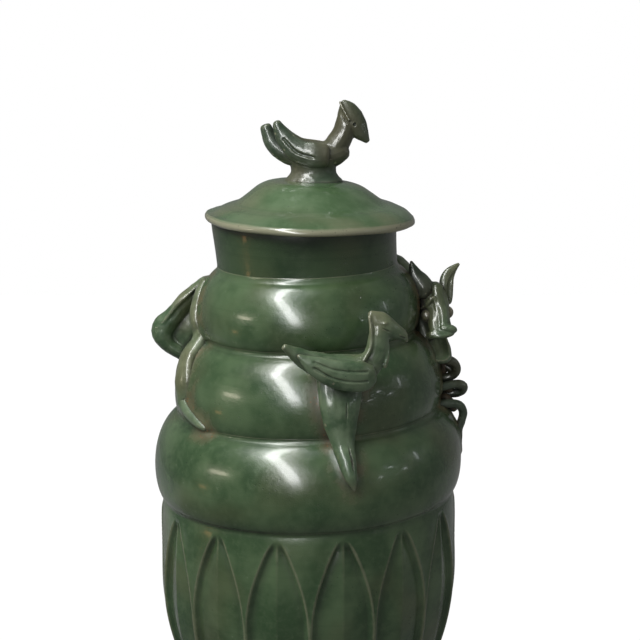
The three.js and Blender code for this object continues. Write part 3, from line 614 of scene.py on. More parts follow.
dragonHead = {
    "standOff": 6.5, "towardsFront": 2, "height": 15.4, "turn": 15,
    "skull": [
        (-9, 0, 4.4, 4.5, 4.6), (-4, 0, 1.7, 8, 6.6), (2, 0, -1, 8.2, 6.8), (7.5, 0, -6.5, 6.2, 5.6),
        (12.5, 0.5, -10.9, 3.5, 5.7), (16, 0.8, -12.7, 2, 5.3),
    ],
    "forehead": [
        (2.2, 0, 8, 1.8, 2.4), (5.6, 0, 7.2, 2, 2.8), (8.6, 0, 2.2, 2, 2.8), (11.4, -0.9, -3.2, 1.9, 2.5),
        (13.8, -0.7, -7.8, 1.8, 2.2), (16, 0.2, -11.6, 1.6, 2),
    ],
    "lip": [
        (12, 6.6, -14, 1.1, 1.1), (15, 5.8, -13.9, 1.2, 1.2), (17.4, 3, -13.8, 1.2, 1.2),
        (17.8, -1, -13.4, 1.2, 1.2), (16.4, -4, -13, 1.1, 1.1), (13, -5.8, -12.8, 1, 1),
    ],
    "brow": [
        (7.4, 6, -1, 0.9, 0.9), (8.6, 5, 1, 1, 1), (9, 4, 2.6, 1, 1), (9.2, 2.8, 3, 1, 1),
        (9.8, 2.2, 0.8, 0.9, 0.9), (10.6, 2, -2, 0.9, 0.9), (11.6, 1.8, -5.2, 0.8, 0.8),
    ],
    "eyeFold": [
        (5, 7.4, -2.8, 0.7, 0.8), (6.4, 6.4, -1.6, 0.8, 0.9), (8.6, 3.6, -2.2, 0.9, 0.9),
        (9.4, 2.2, -4.4, 0.8, 0.8),
    ],
    "nose": [
        (15.8, 1, -10.4, 1.7, 1.7), (16.6, -2.6, -10.6, 2.1, 2.1), (15.8, -5.2, -11.4, 1.7, 1.7),
        (14.8, -6.4, -12, 1, 1),
    ],
    "jaw": [
        (-4, -0.7, -13, 3.4, 5), (1, -0.7, -19, 4.6, 6.3), (5.5, -0.9, -24.4, 4.9, 6.9),
        (9.4, -0.9, -26.2, 3.4, 6),
    ],
    "jawHollow": [(1, -0.6, -15, 2.6, 3.8), (6.5, -0.6, -19.4, 3.4, 4.9), (13, -0.6, -23.8, 3.6, 5)],
    "tongue": [(1, -0.4, -20, 2, 3), (5.6, -0.4, -24, 1.9, 3.4), (8.6, -0.4, -26, 1.4, 2.8)],
    "horn": [
        (2, 5.6, 3.4, 4.4, 4.4), (2, 5.5, 6.8, 5, 5), (1.6, 7.2, 9.8, 4.5, 4.5), (1, 9.1, 12.6, 3.6, 3.7),
        (0.4, 10.4, 16.2, 2.2, 2.2), (0, 11.3, 19.4, 0.7, 0.7),
    ],
    "ear": [
        (1, -6.2, -1, 2.6, 3), (1, -6.3, 3, 2.4, 3.5), (1, -6.3, 7, 2.2, 3.6), (0.4, -6.7, 10, 2, 3.5),
        (0, -8.4, 13, 1.8, 2.8), (-0.2, -11, 15.5, 1.3, 1.6), (-0.4, -13, 17, 0.7, 0.8),
    ],
    "earHollow": [
        (3.6, -7, 0.6, 1.3, 1.3), (3.6, -7.2, 4.6, 1.5, 1.6), (3, -7.6, 9, 1.4, 1.4),
        (2, -9.6, 12.6, 1, 0.9), (1.4, -11.4, 14.4, 0.6, 0.5),
    ],
    "leftEye": (7, 5.3, -5.9, 3.1),
    "rightEye": (6.2, -5, -5, 3.1),
    "nostril": (15, 5.4, -13.4, 2),
}


def headSide(point):
    ahead = outwards(dragonHead["turn"])
    return Vector((ahead.y, -ahead.x, 0))


def headPoint(forward, across, up):
    centre = Vector((
        upperTier["belly"] + dragonHead["standOff"], -dragonHead["towardsFront"],
        upperTier["base"] + dragonHead["height"],
    ))
    ahead = outwards(dragonHead["turn"])
    return centre + ahead * forward + headSide(centre) * across + Vector((0, 0, up))


def headRows(rows):
    return [(headPoint(forward, across, up), high, wide) for forward, across, up, high, wide in rows]


def makeDragonHead():
    head = dragonHead
    rolls = rollParts(head, ("skull", "forehead", "lip", "nose"), headRows, headSide)
    rolls += rollParts(head, ("brow", "eyeFold"), headRows, headSide, 10, 0.8)
    *place, radius = head["nostril"]
    rolls.append(pressBall("nostril", headPoint(*place), radius))
    finishPiece(workTogether("dragonHead", rolls, 0.35, 6, 0.35), "jar", figureGlaze)

    jaw, hollow, tongue = rollParts(head, ("jaw", "jawHollow", "tongue"), headRows, headSide)
    cutAway(jaw, [hollow])
    finishPiece(workTogether("dragonLowerJaw", [jaw, tongue], 0.35, 4, 0.4), "jar", figureGlaze)

    horn, ear = rollParts(head, ("horn", "ear"), headRows, headSide, spacing=1)
    finishPiece(workTogether("dragonLeftHorn", [horn], 0.3, 4, 0.5), "jar", darkGlaze)
    cutAway(ear, rollParts(head, ("earHollow",), headRows, headSide))
    finishPiece(workTogether("dragonRightEar", [ear], 0.3, 4, 0.3), "jar", figureGlaze)

    for part, name in (("leftEye", "dragonLeftEye"), ("rightEye", "dragonRightEye")):
        *place, radius = head[part]
        ball = workTogether(name, [pressBall("ball", headPoint(*place), radius)], 0.3, 2, 0.3)
        finishPiece(ball, "jar", eyeGlaze)


# Forms wrapped round the pot. Rows are azimuth, height above a tier's base, distance out from the wall, half
# height and half thickness.

dragonBody = {
    "coil": [
        (88, -3, 2.6, 5, 5.4), (91, 4, 2, 4.8, 5), (97, 13, -1.4, 4.6, 4.6), (107, 21, 0, 5.2, 5),
        (118, 26, 2, 6, 5), (148, 20, 2.4, 6.4, 5.4), (176, 12, 2.6, 6.6, 5.6), (203, 10, 2.6, 6.4, 5.4),
        (230, 14, 2.4, 6, 5.2), (248, 17.5, 2, 5.6, 5), (262, 16.5, 0.6, 4.6, 4.4),
    ],
    "haunch": [(257, 13, -1, 3, 6), (256.5, 4, 2.5, 3.4, 7), (256, -5, 2.5, 3.4, 7), (256, -13, -3, 3, 6)],
    "foreleg": [
        (270, 20, -2, 5.4, 4.4), (276, 9, -1.6, 6.4, 4.8), (284, -1, -1, 7.6, 5.4), (290, -10, -1, 8, 5),
        (294, -19, -0.8, 7, 4.8), (295, -26, -1.4, 6, 4.4),
    ],
    "flap": [
        (274, 24, -1.4, 4, 3.4), (279, 15, -0.6, 4.4, 3.6), (283, 7, 0.6, 3.8, 3.4), (286, 0, 1, 3, 3.2),
        (288, -6, 0.6, 1.6, 2.4),
    ],
    "crest": [
        (293, -9, 0.4, 3, 3), (296, -16, 0.6, 3.4, 3.2), (296, -22, 0.6, 3.2, 3), (295.4, -29, 0, 3.2, 3),
    ],
    "forepaw": [
        (291, 17, -1.4, 4.4, 3.4), (295, 10.4, -0.6, 4.2, 3.4), (302, 5.4, -0.4, 3.5, 3.2),
        (308.4, 2.8, 0, 2.9, 2.9), (313.4, 0.8, 0.6, 1.9, 2.1),
    ],
    "tail": [
        (246, 48, 3, 4.4, 4), (240, 35, 4, 4.4, 4), (229, 25, 2.6, 4.2, 3.8), (213, 12, 2.6, 3.8, 3.4),
        (199, 0, 5, 3.4, 3.2), (187, -12, 1.4, 2.9, 2.8), (174, -21, 1.2, 2.3, 2.3),
        (162, -23, 1.2, 1.2, 1.4),
    ],
    "backLeg": [
        (166, 46, 3, 5, 4.4), (157, 37, 11, 4.4, 4), (149, 28, 9, 4, 3.6), (142, 19, 3, 3.8, 3.2),
        (137, 11, 1.8, 5, 2.6), (134, 4, 1.2, 2.4, 1.8),
    ],
}


def wrapRows(rows, base):
    return [
        (outwards(azimuth) * (wallRadius(base + up) + out) + Vector((0, 0, base + up)), high, thick)
        for azimuth, up, out, high, thick in rows
    ]


def makeDragonBody():
    upper, middle = upperTier["base"], middleTier["base"]
    for name, parts, base in (
        ("dragonBody", ("coil",), upper),
        ("dragonTail", ("tail",), middle),
        ("dragonBackLeg", ("backLeg",), middle),
        ("dragonForeleg", ("foreleg", "flap", "crest"), upper),
        ("dragonForepaw", ("forepaw",), middle),
    ):
        rolls = [rollClay(part, wrapRows(dragonBody[part], base), awayFromAxis) for part in parts]
        finishPiece(workTogether(name, rolls, 0.5, 4, 0.7), "jar", figureGlaze)

    rolls = [rollClay("haunch", wrapRows(dragonBody["haunch"], upper), awayFromAxis)]
    rolls += rollParts(hindLeg, ("limb", "web", "ridge"), legRows, awayFromAxis)
    finishPiece(workTogether("dragonHindLeg", rolls, 0.5, 4, 0.8), "jar", figureGlaze)


# Bent leg at the left. Rows are distance to the left of the axis and behind it, height above the upper
# tier's base, half width and half thickness.
hindLeg = {
    "limb": [
        (49, 8, 21, 4.4, 4.4), (55, 8, 16.8, 4.6, 4.4), (60.4, 8, 11.7, 5, 4.5), (65.8, 7.6, 5.4, 5, 4.8),
        (71.4, 7, -1.8, 5, 5.7), (69, 7, -7.8, 4.4, 4), (63.6, 7, -12, 3.8, 3.3), (56, 7, -17.4, 3.6, 3.2),
    ],
    "web": [(49, 10, 14, 6, 6), (55, 10, 6, 5, 8), (61, 10, -3, 5, 8.5), (59, 10, -11, 4, 6)],
    "ridge": [
        (51.5, 4, 23, 0.9, 0.9), (57, 3.2, 18, 1.1, 1.1), (62.4, 2.8, 13.4, 1.2, 1.2), (67.4, 3, 7, 1.1, 1.1),
        (71.6, 3.4, 1.4, 0.8, 0.9),
    ],
}


def legRows(rows):
    base = upperTier["base"]
    return [(Vector((-left, behind, base + up)), wide, thick) for left, behind, up, wide, thick in rows]


# Scrolls below the jaw. Rows are distance out from the middle tier's belly, distance behind the middle
# plane, and height above that tier's base.
beardScrolls = {
    "radius": 2.2, "innerRadius": 1.8, "fillRadius": 2.6,
    "upper": [
        (-4, -5, 24.5), (3.5, -4, 23.6), (6.6, -2.6, 21.4), (7.6, -1.2, 18), (5.8, 0, 14.8), (1, 0.6, 13.4),
        (-3, 1, 13.2),
    ],
    "upperInner": [(-3, 2.4, 20.4), (2, 1.8, 19.2), (5.4, 0.4, 17.4)],
    "upperFill": [(-3, 2.6, 24), (0, 2.4, 21), (1.6, 2.2, 18), (-1, 2.6, 14)],
    "middle": [
        (-3, -5, 9.6), (2, -4.4, 10.6), (7.8, -2.6, 11.2), (11, -1, 9.8), (10.8, 0.6, 7.4), (8, 1.8, 5.6),
        (3, 2.6, 5.2), (-2, 3, 5.4),
    ],
    "middleFill": [(-2, 2.4, 12), (2.4, 2, 8.4), (5.4, 1.6, 8)],
    "lower": [
        (-3, -5, 1.6), (2, -4.6, 1.8), (6.5, -3, 1.4), (10, -1.4, -0.6), (11.3, -0.4, -4), (10.8, 0.2, -8),
        (9.4, 0.5, -12), (9.1, 0.5, -16), (9, 0.4, -23),
    ],
    "lowerInner": [
        (-1, -3.4, 1.6), (2.4, -1.6, -2), (3.8, -0.4, -6), (6.2, 0.2, -9.8), (9.2, 0.5, -13),
    ],
    "lowerFill": [(-2, 1.4, 3.6), (2.6, 1, 3.4), (5, 0, 0.6), (7.6, -0.6, -1.4)],
}


def scrollRoll(part, radius):
    rows = [
        (Vector((middleTier["belly"] + out, back, middleTier["base"] + up)), radius, radius)
        for out, back, up in beardScrolls[part]
    ]
    return rollClay("scroll", rows, sideways, 12, 1)


def makeScrolls():
    scrolls = beardScrolls
    for part in ("upper", "middle", "lower"):
        rolls = [scrollRoll(part, scrolls["radius"])]
        if part + "Inner" in scrolls:
            rolls.append(scrollRoll(part + "Inner", scrolls["innerRadius"]))
        scroll = workTogether("beardScroll" + part.title(), rolls, 0.35, 4, 0.5)
        finishPiece(scroll, "jar", darkGlaze)
        fill = scrollRoll(part + "Fill", scrolls["fillRadius"])
        finishPiece(workTogether(part + "ScrollFill", [fill], 0.5, 4, 1), "jar", earthGlaze)


# Bird on the lid. Rows are x, y, height above the crown, half height and half thickness.

finialBird = {
    "torso": [
        (-19.8, 0.6, 25.4, 2.7, 2.3), (-16.6, 0.4, 18.2, 4, 3.2), (-11, 0, 13, 4.6, 4.4),
        (-3, 0, 11.9, 6.3, 6.1), (5, 0, 11.8, 6.6, 6.5), (12, 0, 12.8, 6.5, 6), (17.2, 0, 14.6, 4.6, 4.4),
    ],
    "neck": [
        (10, 0, 12.8, 5.4, 5.2), (14.4, 0, 18, 5.6, 5), (17, 0, 22.8, 5.2, 4.6), (18.3, 0, 27, 5.2, 4.4),
        (18.6, 0, 31, 4.6, 3.8),
    ],
    "head": [
        (16.6, 0, 37, 1.5, 1.3), (18, 0, 34.4, 4.2, 2.8), (19.6, 0, 30.4, 5.9, 4), (22.6, 0, 26, 5.3, 4.2),
        (25.6, 0, 21.8, 3.6, 3.1), (28.2, 0, 18.4, 1.3, 1.1),
    ],
    "crestRidge": [(15, -1.6, 37, 0.6, 0.6), (16.8, -3.2, 33.2, 0.8, 0.8), (19.4, -4.4, 28.6, 0.6, 0.6)],
    "crestGroove": [(13.6, -1.8, 33.6, 0.6, 0.7), (15.6, -3.6, 30.6, 0.7, 0.8), (18.4, -4.6, 27, 0.5, 0.6)],
    "eye": (22, -4.2, 26.6),
    "wing": [
        (-14.6, -4, 26.8, 2.1, 1.4), (-11.4, -4.8, 21, 3.9, 2), (-4.5, -6.1, 14.6, 5.5, 2.3),
        (3, -6.7, 12.6, 6, 2.5), (8.6, -6.4, 12.2, 5.5, 2.2),
    ],
    "feathers": (-0.15,), "groove": 0.7,
    "pedestal": {"x": 2.6, "length": 26, "width": 17, "waist": 0.83, "height": 8.8, "sink": 1.5},
}


def finialRows(rows, side=1):
    return [(Vector((x, side * y, crownHeight + up)), high, thick) for x, y, up, high, thick in rows]


def makeFinial():
    bird = finialBird
    rolls = rollParts(bird, ("torso", "neck", "head"), finialRows, sideways)
    rolls += rollParts(bird, ("crestRidge",), finialRows, sideways, 8)
    body = workTogether("finialBirdBody", rolls, 0.4, 5)
    x, y, up = bird["eye"]
    eye = pressBall("eye", Vector((x, y, crownHeight + up)), 0.9)
    cutAway(body, rollParts(bird, ("crestGroove",), finialRows, sideways, 8) + [eye])
    finishPiece(body, "lid", darkGlaze)
    for side, name in ((1, "finialBirdNearWing"), (-1, "finialBirdFarWing")):
        wing = rollClay("wing", finialRows(bird["wing"], side), sideways, roundEnd=0.8)
        grooves = [finialRows(rows, side) for rows in feathers(bird, -1)]
        cutAway(wing, [rollClay("feather", rows, sideways, 8) for rows in grooves])
        finishPiece(workTogether(name, [wing], 0.35, 5), "lid", darkGlaze)

    base = bird["pedestal"]
    waist, height = base["waist"], base["height"]
    outline = [
        (0, -base["sink"]), (1.08, -base["sink"]), (1.06, 0.4), (0.96, 1.4), (0.88, 2.8),
        (waist, height * 0.45), (waist, height * 0.7), (0.92, height), (1, height + 2), (0, height + 2),
    ]
    foot = turnOnWheel("finialPedestal", outline, 64)
    selectOnly(foot)
    bpy.ops.transform.resize(value=(base["length"] / 2, base["width"] / 2, 1), center_override=(0, 0, 0))
    bpy.ops.transform.translate(value=Vector((base["x"], 0, crownHeight)) * mm)
    bpy.ops.object.transform_apply(location=True, rotation=True, scale=True)
    finishPiece(workTogether("finialPedestal", [foot], 0.45, 6, 0.9), "lid", darkGlaze)


# Lid. Outlines are radii, or distances out from a radius, and heights.

lid = {
    "outline": [
        (0, 17.3), (12, 17.1), (19, 16.5), (24.6, 14.5), (30, 10.8), (35.2, 7.3), (42, 4.9), (49.2, 1.3),
    ],
    "brim": {
        "radius": 50, "height": 0.8, "thickness": 3,
        "edge": [(-0.35, 2.75), (-0.05, 2.1), (0, 1.3), (-0.15, 0.7), (-0.6, 0.25), (-1.4, 0), (-3, 0.3)],
    },
    "flange": [(-3.5, -8.6), (-3.1, -9), (-1, -9), (-0.2, -8.6), (0, -8), (0, 0), (-3.5, 0)],
    "flangeGap": 1.5, "crown": 17.1, "wall": 5, "hollow": 33, "warp": 1.3, "gap": 0.3, "shift": 1,
    "settled": 0.03,
}
rimHeight = boxOf("neck_collar")[1].z
restHeight = rimHeight + lid["gap"]
crownHeight = restHeight + lid["crown"]


def makeLid():
    brim, wall = lid["brim"], lid["wall"]
    low = restHeight + brim["height"] - brim["thickness"]
    outsideRim = upperTier["shoulder"] + neck["flare"] + 2 * lid["gap"]
    points = [(Vector((radius, 0, height)), 1, 1) for radius, height in lid["outline"]]
    top = [(centre.x, restHeight + centre.z) for centre, _, _ in smoothLine(points, 1)]
    outline = top + [(brim["radius"] + out, low + up) for out, up in brim["edge"]] + [
        (outsideRim, restHeight), (lid["hollow"], restHeight), (lid["hollow"] - 2, restHeight + 5),
        (23.5, restHeight + 15.4 - wall), (12, crownHeight - wall), (0, crownHeight - wall),
    ]
    dome = turnOnWheel("lidDome", outline, 384)
    for point in dome.data.vertices:  # the brim sags towards +X and lifts towards -X
        radius = math.hypot(point.co.x, point.co.y) / mm
        overhang = max(0, (radius - outsideRim) / (brim["radius"] - outsideRim))
        turn = math.atan2(point.co.y, point.co.x)
        wave = lid["warp"] * math.cos(turn) + 0.25 * math.sin(3 * turn + 1) + 0.12 * math.sin(7 * turn)
        point.co.z -= wave * overhang * mm
        point.co.z -= lid["settled"] * point.co.x * (1 - smoothstep(radius, 16, 32))
        point.co.x += lid["shift"] * mm * smoothstep(radius, 14, 28)
    applyModifier(dome, "DISPLACE", texture=wheelWobble, strength=0.8 * mm, mid_level=0.5)
    applyModifier(dome, "DISPLACE", texture=handLumps, strength=0.25 * mm, mid_level=0.5)
    finishPiece(dome, "lid", lidGlaze)

    outer = upperTier["shoulder"] + neck["flare"] - neck["wall"] - lid["flangeGap"]
    flange = turnOnWheel("lidFlange", [(outer + out, restHeight + up) for out, up in lid["flange"]], 192)
    finishPiece(flange, "lid", bareClay)


# Thrown pot

petals = {
    "count": 15, "azimuth": 13, "tipDrop": 3.5, "length": 45, "taper": 0.88, "depth": 2.1, "ridgeDepth": 0.5,
    "dish": 0.8, "bevel": 1.9, "rib": 0.6, "lip": 0.35, "lipWidth": 0.9, "tipRun": 6, "footRun": 10,
}


def carvePetals(form):
    pitch = 2 * math.pi / petals["count"]
    tip = lowerBody["top"] - petals["tipDrop"]
    for point in form.data.vertices:
        height = point.co.z / mm
        radius = math.hypot(point.co.x, point.co.y) / mm
        inside = radius < swellRadius(lowerBody, height) - 0.5
        if inside or height < lowerBody["base"] + 0.5 or height > tip:
            continue
        turn = math.atan2(point.co.x, -point.co.y) - math.radians(petals["azimuth"])
        aside = abs((turn + pitch / 2) % pitch - pitch / 2) * radius
        widest = pitch / 2 * radius - petals["bevel"] - petals["rib"]
        belowTip = min(1, (tip - height) / petals["length"])
        half = max(0.3, widest * math.sin(belowTip * math.pi / 2) ** petals["taper"])
        run = smoothstep(tip - height, 0, petals["tipRun"])
        run *= smoothstep(height - lowerBody["base"], 0, petals["footRun"])
        if aside < half:
            share = (aside / half) ** petals["dish"]
            depth = petals["ridgeDepth"] + (petals["depth"] - petals["ridgeDepth"]) * share
        elif aside < half + petals["bevel"]:
            depth = petals["depth"] * (1 - smoothstep(aside, half, half + petals["bevel"]))
        else:
            depth = 0
        rim = math.exp(-(((aside - half - petals["bevel"]) / petals["lipWidth"]) ** 2)) * petals["lip"]
        carved = (radius - depth * run + rim * run) / radius
        point.co.x *= carved
        point.co.y *= carved


pot = {
    "wall": 6, "footWall": 6.8, "floor": 7, "cavityFoot": 43, "seat": 1, "lean": 0.026, "leanRadius": 41,
    "ringFillet": 2, "neckFillet": 4, "bodyFillet": 2.2, "slipReach": 3.6, "slipHeight": 1.1, "dustReach": 11,
    "footRing": [
        (39.5, 0.5), (40, 0), (45, 0), (46, 0.4), (46.5, 1.2), (46.5, 5), (47, 6.6), (48.2, 8), (37.5, 8),
    ],
    "columns": {"body": 600, "ring": 448, "neck": 384, "footRing": 256},
}


def leanPot(form):  # the rings rise towards +X, and the outside of the neck leans the other way
    for point in form.data.vertices:
        height = point.co.z / mm
        lean = pot["lean"] * smoothstep(height, 20, 75) * (1 - smoothstep(height, 229, 246))
        point.co.z += lean * point.co.x
        if math.hypot(point.co.x, point.co.y) > pot["leanRadius"] * mm:
            point.co.x += neck["leanTop"] * mm * smoothstep(height, 216, 252)


def raiseSlip(form, guide):  # slip is smoothed up against the figures
    near = form.data.attributes.new("nearFigure", "FLOAT", "POINT")
    normals = [point.normal.copy() for point in form.data.vertices]
    for point, normal, mark in zip(form.data.vertices, normals, near.data):
        distance = guide.find_nearest(point.co)[3] / mm
        mark.value = 1 - smoothstep(distance, 0, pot["dustReach"])
        point.co += normal * max(0, 1 - distance / pot["slipReach"]) ** 2 * pot["slipHeight"] * mm


def innerOutline(form):
    wall = pot["wall"]
    inside = dict(form, foot=form["foot"] - pot["footWall"], belly=form["belly"] - wall,
                  shoulder=form["shoulder"] - wall)
    return [point for point in swellOutline(inside, 4, 8) if point[1] > form["base"] + 0.5][::-1]


def tierOutline(form, above, fillet):
    outside, last = glazeFillet(swellOutline(form, 16, 44), above, fillet)
    wall, low = pot["wall"], form["base"] - pot["seat"]
    return (
        outside + [(last[0] - 1.2, last[1] + 0.8), (form["shoulder"] - wall, form["top"])]
        + innerOutline(form) + [(form["foot"] - wall, low), (form["foot"] - 1.5, low)]
    )


neck = {
    "flare": 2, "foot": 43.1, "wall": 6, "leanTop": -2.1,
    "side": [(0, -3), (0, 0), (0, 4), (0.2, 9), (0.5, 14), (0.8, 18)],
    "rim": [(1, -2.4), (0.8, -1), (0.3, -0.3), (-0.5, 0)], "mouth": [(1.6, 0), (0.5, -0.4), (0, -1.3)],
}


def neckOutside():
    foot, top = neck["foot"], upperTier["top"]
    side = [(foot + out, top + up) for out, up in neck["side"]]
    return side + [(foot + out, rimHeight + up) for out, up in neck["rim"]]


def fineSteps(points, spacing=0.5):
    fine = []
    for a, b in zip(points, points[1:]):
        steps = max(1, round(math.dist(a, b) / spacing))
        fine += [(a[0] + (b[0] - a[0]) * i / steps, a[1] + (b[1] - a[1]) * i / steps) for i in range(steps)]
    return fine + [points[-1]]


def makePot(guide):
    body, wall, floor, columns = lowerBody, pot["wall"], pot["floor"], pot["columns"]
    cavity = dict(body, base=body["base"] + floor, foot=pot["cavityFoot"], belly=body["belly"] - wall,
                  top=body["top"] - wall, shoulder=body["shoulder"] - wall,
                  bellyHeight=body["bellyHeight"] - floor)
    above = swellOutline(lowerTier, 40, 2)
    outside, last = glazeFillet(swellOutline(body, 46, 60), above, pot["bodyFillet"])
    outline = [(0, body["base"])] + outside
    outline += [(last[0] - 1.5, last[1] + 1), (body["shoulder"] - wall, body["top"])]
    outline += swellOutline(cavity, 6, 4)[::-1] + [(0, body["base"] + floor)]
    base = turnOnWheel("lowerBody", outline, columns["body"])
    carvePetals(base)
    thrown = [base]
    for name, form, above, fillet in (
        ("lowerTier", lowerTier, swellOutline(middleTier, 40, 2), pot["ringFillet"]),
        ("middleTier", middleTier, swellOutline(upperTier, 40, 2), pot["ringFillet"]),
        ("upperTier", upperTier, fineSteps(neckOutside()), pot["neckFillet"]),
    ):
        thrown.append(turnOnWheel(name, tierOutline(form, above, fillet), columns["ring"]))
    bore = upperTier["shoulder"] - wall
    mouth = [(bore + out, rimHeight + up) for out, up in neck["mouth"]] + [(bore, upperTier["top"])]
    collar = turnOnWheel("neckCollar", fineSteps(neckOutside(), 1.2) + mouth, columns["neck"])
    for form in thrown + [collar]:
        applyModifier(form, "DISPLACE", texture=wheelWobble, strength=0.9 * mm, mid_level=0.5)
        leanPot(form)
        if form != collar:
            raiseSlip(form, guide)
        # The collar takes the darker neck glaze, a painted shadow of the lid.
        finishPiece(form, "jar", neckGlaze if form == collar else jarGlaze)
    finishPiece(turnOnWheel("footRing", pot["footRing"], columns["footRing"]), "jar", bareClay)


def figureGuide():  # all figures on the jar, as one surface to measure from
    corners, faces = [], []
    for figure in figuresOnJar:
        start = len(corners)
        corners += [point.co for point in figure.data.vertices]
        faces += [[start + i for i in face.vertices] for face in figure.data.polygons]
    return BVHTree.FromPolygons(corners, faces)


makePerchedBird()
makeTailDrop()
print("front bird done")
makeDragonHead()
makeDragonBody()
makeScrolls()
print("dragon done")
makePot(figureGuide())
print("pot thrown")
makeLid()
makeFinial()
print("lid done")


# Studio. Lamps are placed by the direction in which they are seen from the jar.

studio = {
    "aim": Vector((0, 0, 0.2)),
    # azimuth, elevation, distance, width, height, radiance, colour
    "panel": (-58, 48, 1.5, 1.6, 1.2, 7.8, (1, 1, 1)),
    "fill": (38, 38, 1.5, 1, 1, 1.6, (1, 1, 1)),
    "sheen": (-40, 62, 1.5, 1.5, 1.1, 1.8, (1, 1, 1)),
    "warm": (-66, 7, 1.2, 0.46, 0.12, 12, (1, 0.9, 0.72)),
    "orange": (-77, -13, 0.85, 0.12, 0.06, 4, (1, 0.5, 0.2)),
    "strips": [  # low end, high end, width, radiance
        ((-6, -2), (-48, 55), 0.24, 22), ((-36, 38), (-118, 82), 0.22, 24),
    ],
    "stripDistance": 1.3,
    "right": [  # azimuth, elevation, width, height, radiance
        (86, 12, 0.05, 0.3, 7), (63, 10, 0.12, 0.04, 12), (74, 3, 0.08, 0.04, 12), (53, 2, 0.14, 0.04, 9),
        (36, 7, 0.06, 0.03, 6),
    ],
    "rightDistance": 1.2, "rightColour": (0.92, 0.96, 1),
    "floor": {"front": -0.5, "back": 1.6, "halfWidth": 2, "rise": 1.2, "paper": 0.35, "shade": 0.96},
    "room": 0.16, "camera": {"place": (0.0058, -0.6843, 0.348), "down": 12.3, "lens": 81.56},
}


def seenFrom(azimuth, elevation, distance):
    rise = math.radians(elevation)
    return studio["aim"] + (outwards(azimuth) * math.cos(rise) + Vector((0, 0, math.sin(rise)))) * distance


def hangLamp(name, place, size, radiance, colour=(1, 1, 1), up=Vector((0, 0, 1)), reflected=True):
    bpy.ops.object.light_add(type="AREA", location=place)
    lamp = bpy.context.object
    lamp.name = name
    lamp.data.shape = "RECTANGLE"
    lamp.data.size, lamp.data.size_y = size
    lamp.data.energy = radiance * math.pi * size[0] * size[1]
    lamp.data.color = colour
    behind = (place - studio["aim"]).normalized()
    upright = (up - behind * up.dot(behind)).normalized()
    lamp.rotation_euler = Matrix((upright.cross(behind), upright, behind)).transposed().to_euler()
    lamp.visible_diffuse = not reflected
    lamp.visible_glossy = reflected

    lamp.data.use_nodes = True  # brightest in the middle, nothing at the rim
    sheet = NodeSheet(lamp.data.node_tree)
    strength = 1
    for axis in ("X", "Y"):
        side = sheet.along(axis, sheet.node("NewGeometry", output="Parametric"))
        strength = sheet.step(side, 0, 0.3) * sheet.step(1 - side, 0, 0.3) * strength
    glow = sheet.node("Emission", {}, {"Color": (1, 1, 1, 1), "Strength": strength})
    sheet.node("OutputLight", {}, {"Surface": glow})


def hangPanel(name, azimuth, elevation, distance, wide, high, radiance, colour, reflected=True):
    place = seenFrom(azimuth, elevation, distance)
    hangLamp(name, place, (wide, high), radiance, colour, reflected=reflected)


for part in ("panel", "fill", "sheen"):
    hangPanel(part + "Lamp", *studio[part], reflected=part == "sheen")
for number, (*ends, width, radiance) in enumerate(studio["strips"]):
    low, high = (seenFrom(*end, studio["stripDistance"]) for end in ends)
    hangLamp(f"stripLamp{number}", (low + high) / 2, (width, (high - low).length), radiance, up=high - low)
for part in ("warm", "orange"):
    hangPanel(part + "Lamp", *studio[part])
for number, (azimuth, elevation, *shine) in enumerate(studio["right"]):
    place = (azimuth, elevation, studio["rightDistance"])
    hangPanel(f"rightLamp{number}", *place, *shine, studio["rightColour"])


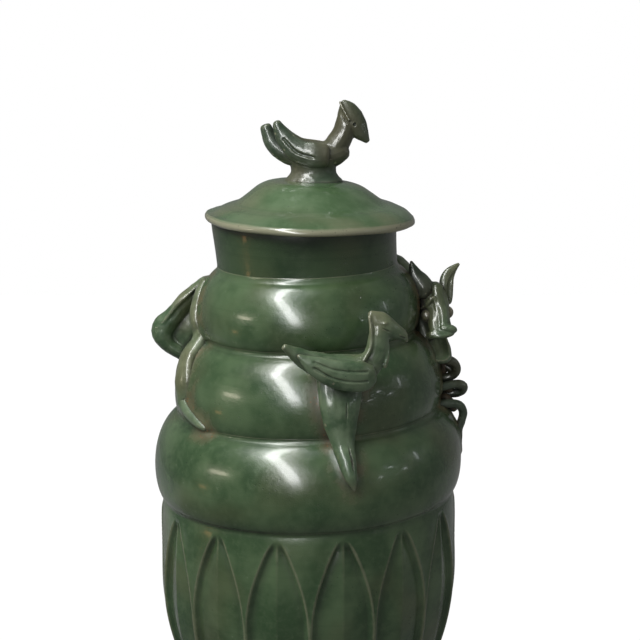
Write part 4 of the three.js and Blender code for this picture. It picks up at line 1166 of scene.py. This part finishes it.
def whiteSweep(shade, grey):  # white to the camera, and the upright part in reflections too
    material = bpy.data.materials.new("whiteSweep")
    material.use_nodes = True
    sheet = NodeSheet(material.node_tree)
    seen = sheet.node("LightPath", output="Is Camera Ray")
    through = sheet.node("LightPath", output="Is Transmission Ray")
    place = sheet.node("TexCoord", output="Object")
    upright = sheet.step(sheet.along("Z", place), 0.1, 0.4)
    mirrored = sheet.node("LightPath", output="Is Glossy Ray") * upright
    shown = seen.maths("MAXIMUM", seen, through.maths("MAXIMUM", through, mirrored))
    paper = sheet.node("BsdfDiffuse", {}, {"Color": (grey, grey, grey, 1)})
    white = sheet.node("Emission", {}, {"Color": (1, 1, 1, 1), "Strength": 1.06})
    surface = sheet.node("MixShader", {}, {0: shown * shade, 1: paper, 2: white})
    sheet.node("OutputMaterial", {}, {"Surface": surface})
    return material


def layFloor():
    edge = studio["floor"]
    depth, width = edge["back"] - edge["front"], 2 * edge["halfWidth"]
    bpy.ops.object.select_all(action="DESELECT")
    bpy.ops.mesh.primitive_plane_add(size=1, location=(0, (edge["back"] + edge["front"]) / 2, 0),
                                     scale=(width, depth, 1))
    floor = bpy.context.object
    floor.name = "floor"
    bpy.ops.object.transform_apply(location=True, rotation=True, scale=True)
    bpy.ops.object.mode_set(mode="EDIT")
    bpy.ops.mesh.select_all(action="DESELECT")
    mesh = bmesh.from_edit_mesh(floor.data)
    for side in mesh.edges:
        side.select = all(point.co.y > edge["back"] - mm for point in side.verts)
    bpy.ops.mesh.extrude_region_move(TRANSFORM_OT_translate={"value": (0, 0, edge["rise"])})
    bpy.ops.object.mode_set(mode="OBJECT")
    floor.data.materials.append(whiteSweep(edge["shade"], edge["paper"]))


layFloor()
world = bpy.data.worlds.new("room")
bpy.context.scene.world = world
world.use_nodes = True
sheet = NodeSheet(world.node_tree)
seen = sheet.node("LightPath", output="Is Camera Ray")
room = sheet.mix(seen, (*(studio["room"],) * 3, 1), (1, 1, 1, 1))
sheet.node("OutputWorld", {}, {"Surface": sheet.node("Background", {}, {"Color": room, "Strength": 1})})

bpy.context.scene.view_settings.view_transform = "Standard"
view = studio["camera"]
bpy.ops.object.camera_add(location=view["place"], rotation=(math.radians(90 - view["down"]), 0, 0))
camera = bpy.context.object
camera.data.lens = view["lens"]
bpy.context.scene.camera = camera
print("studio set")
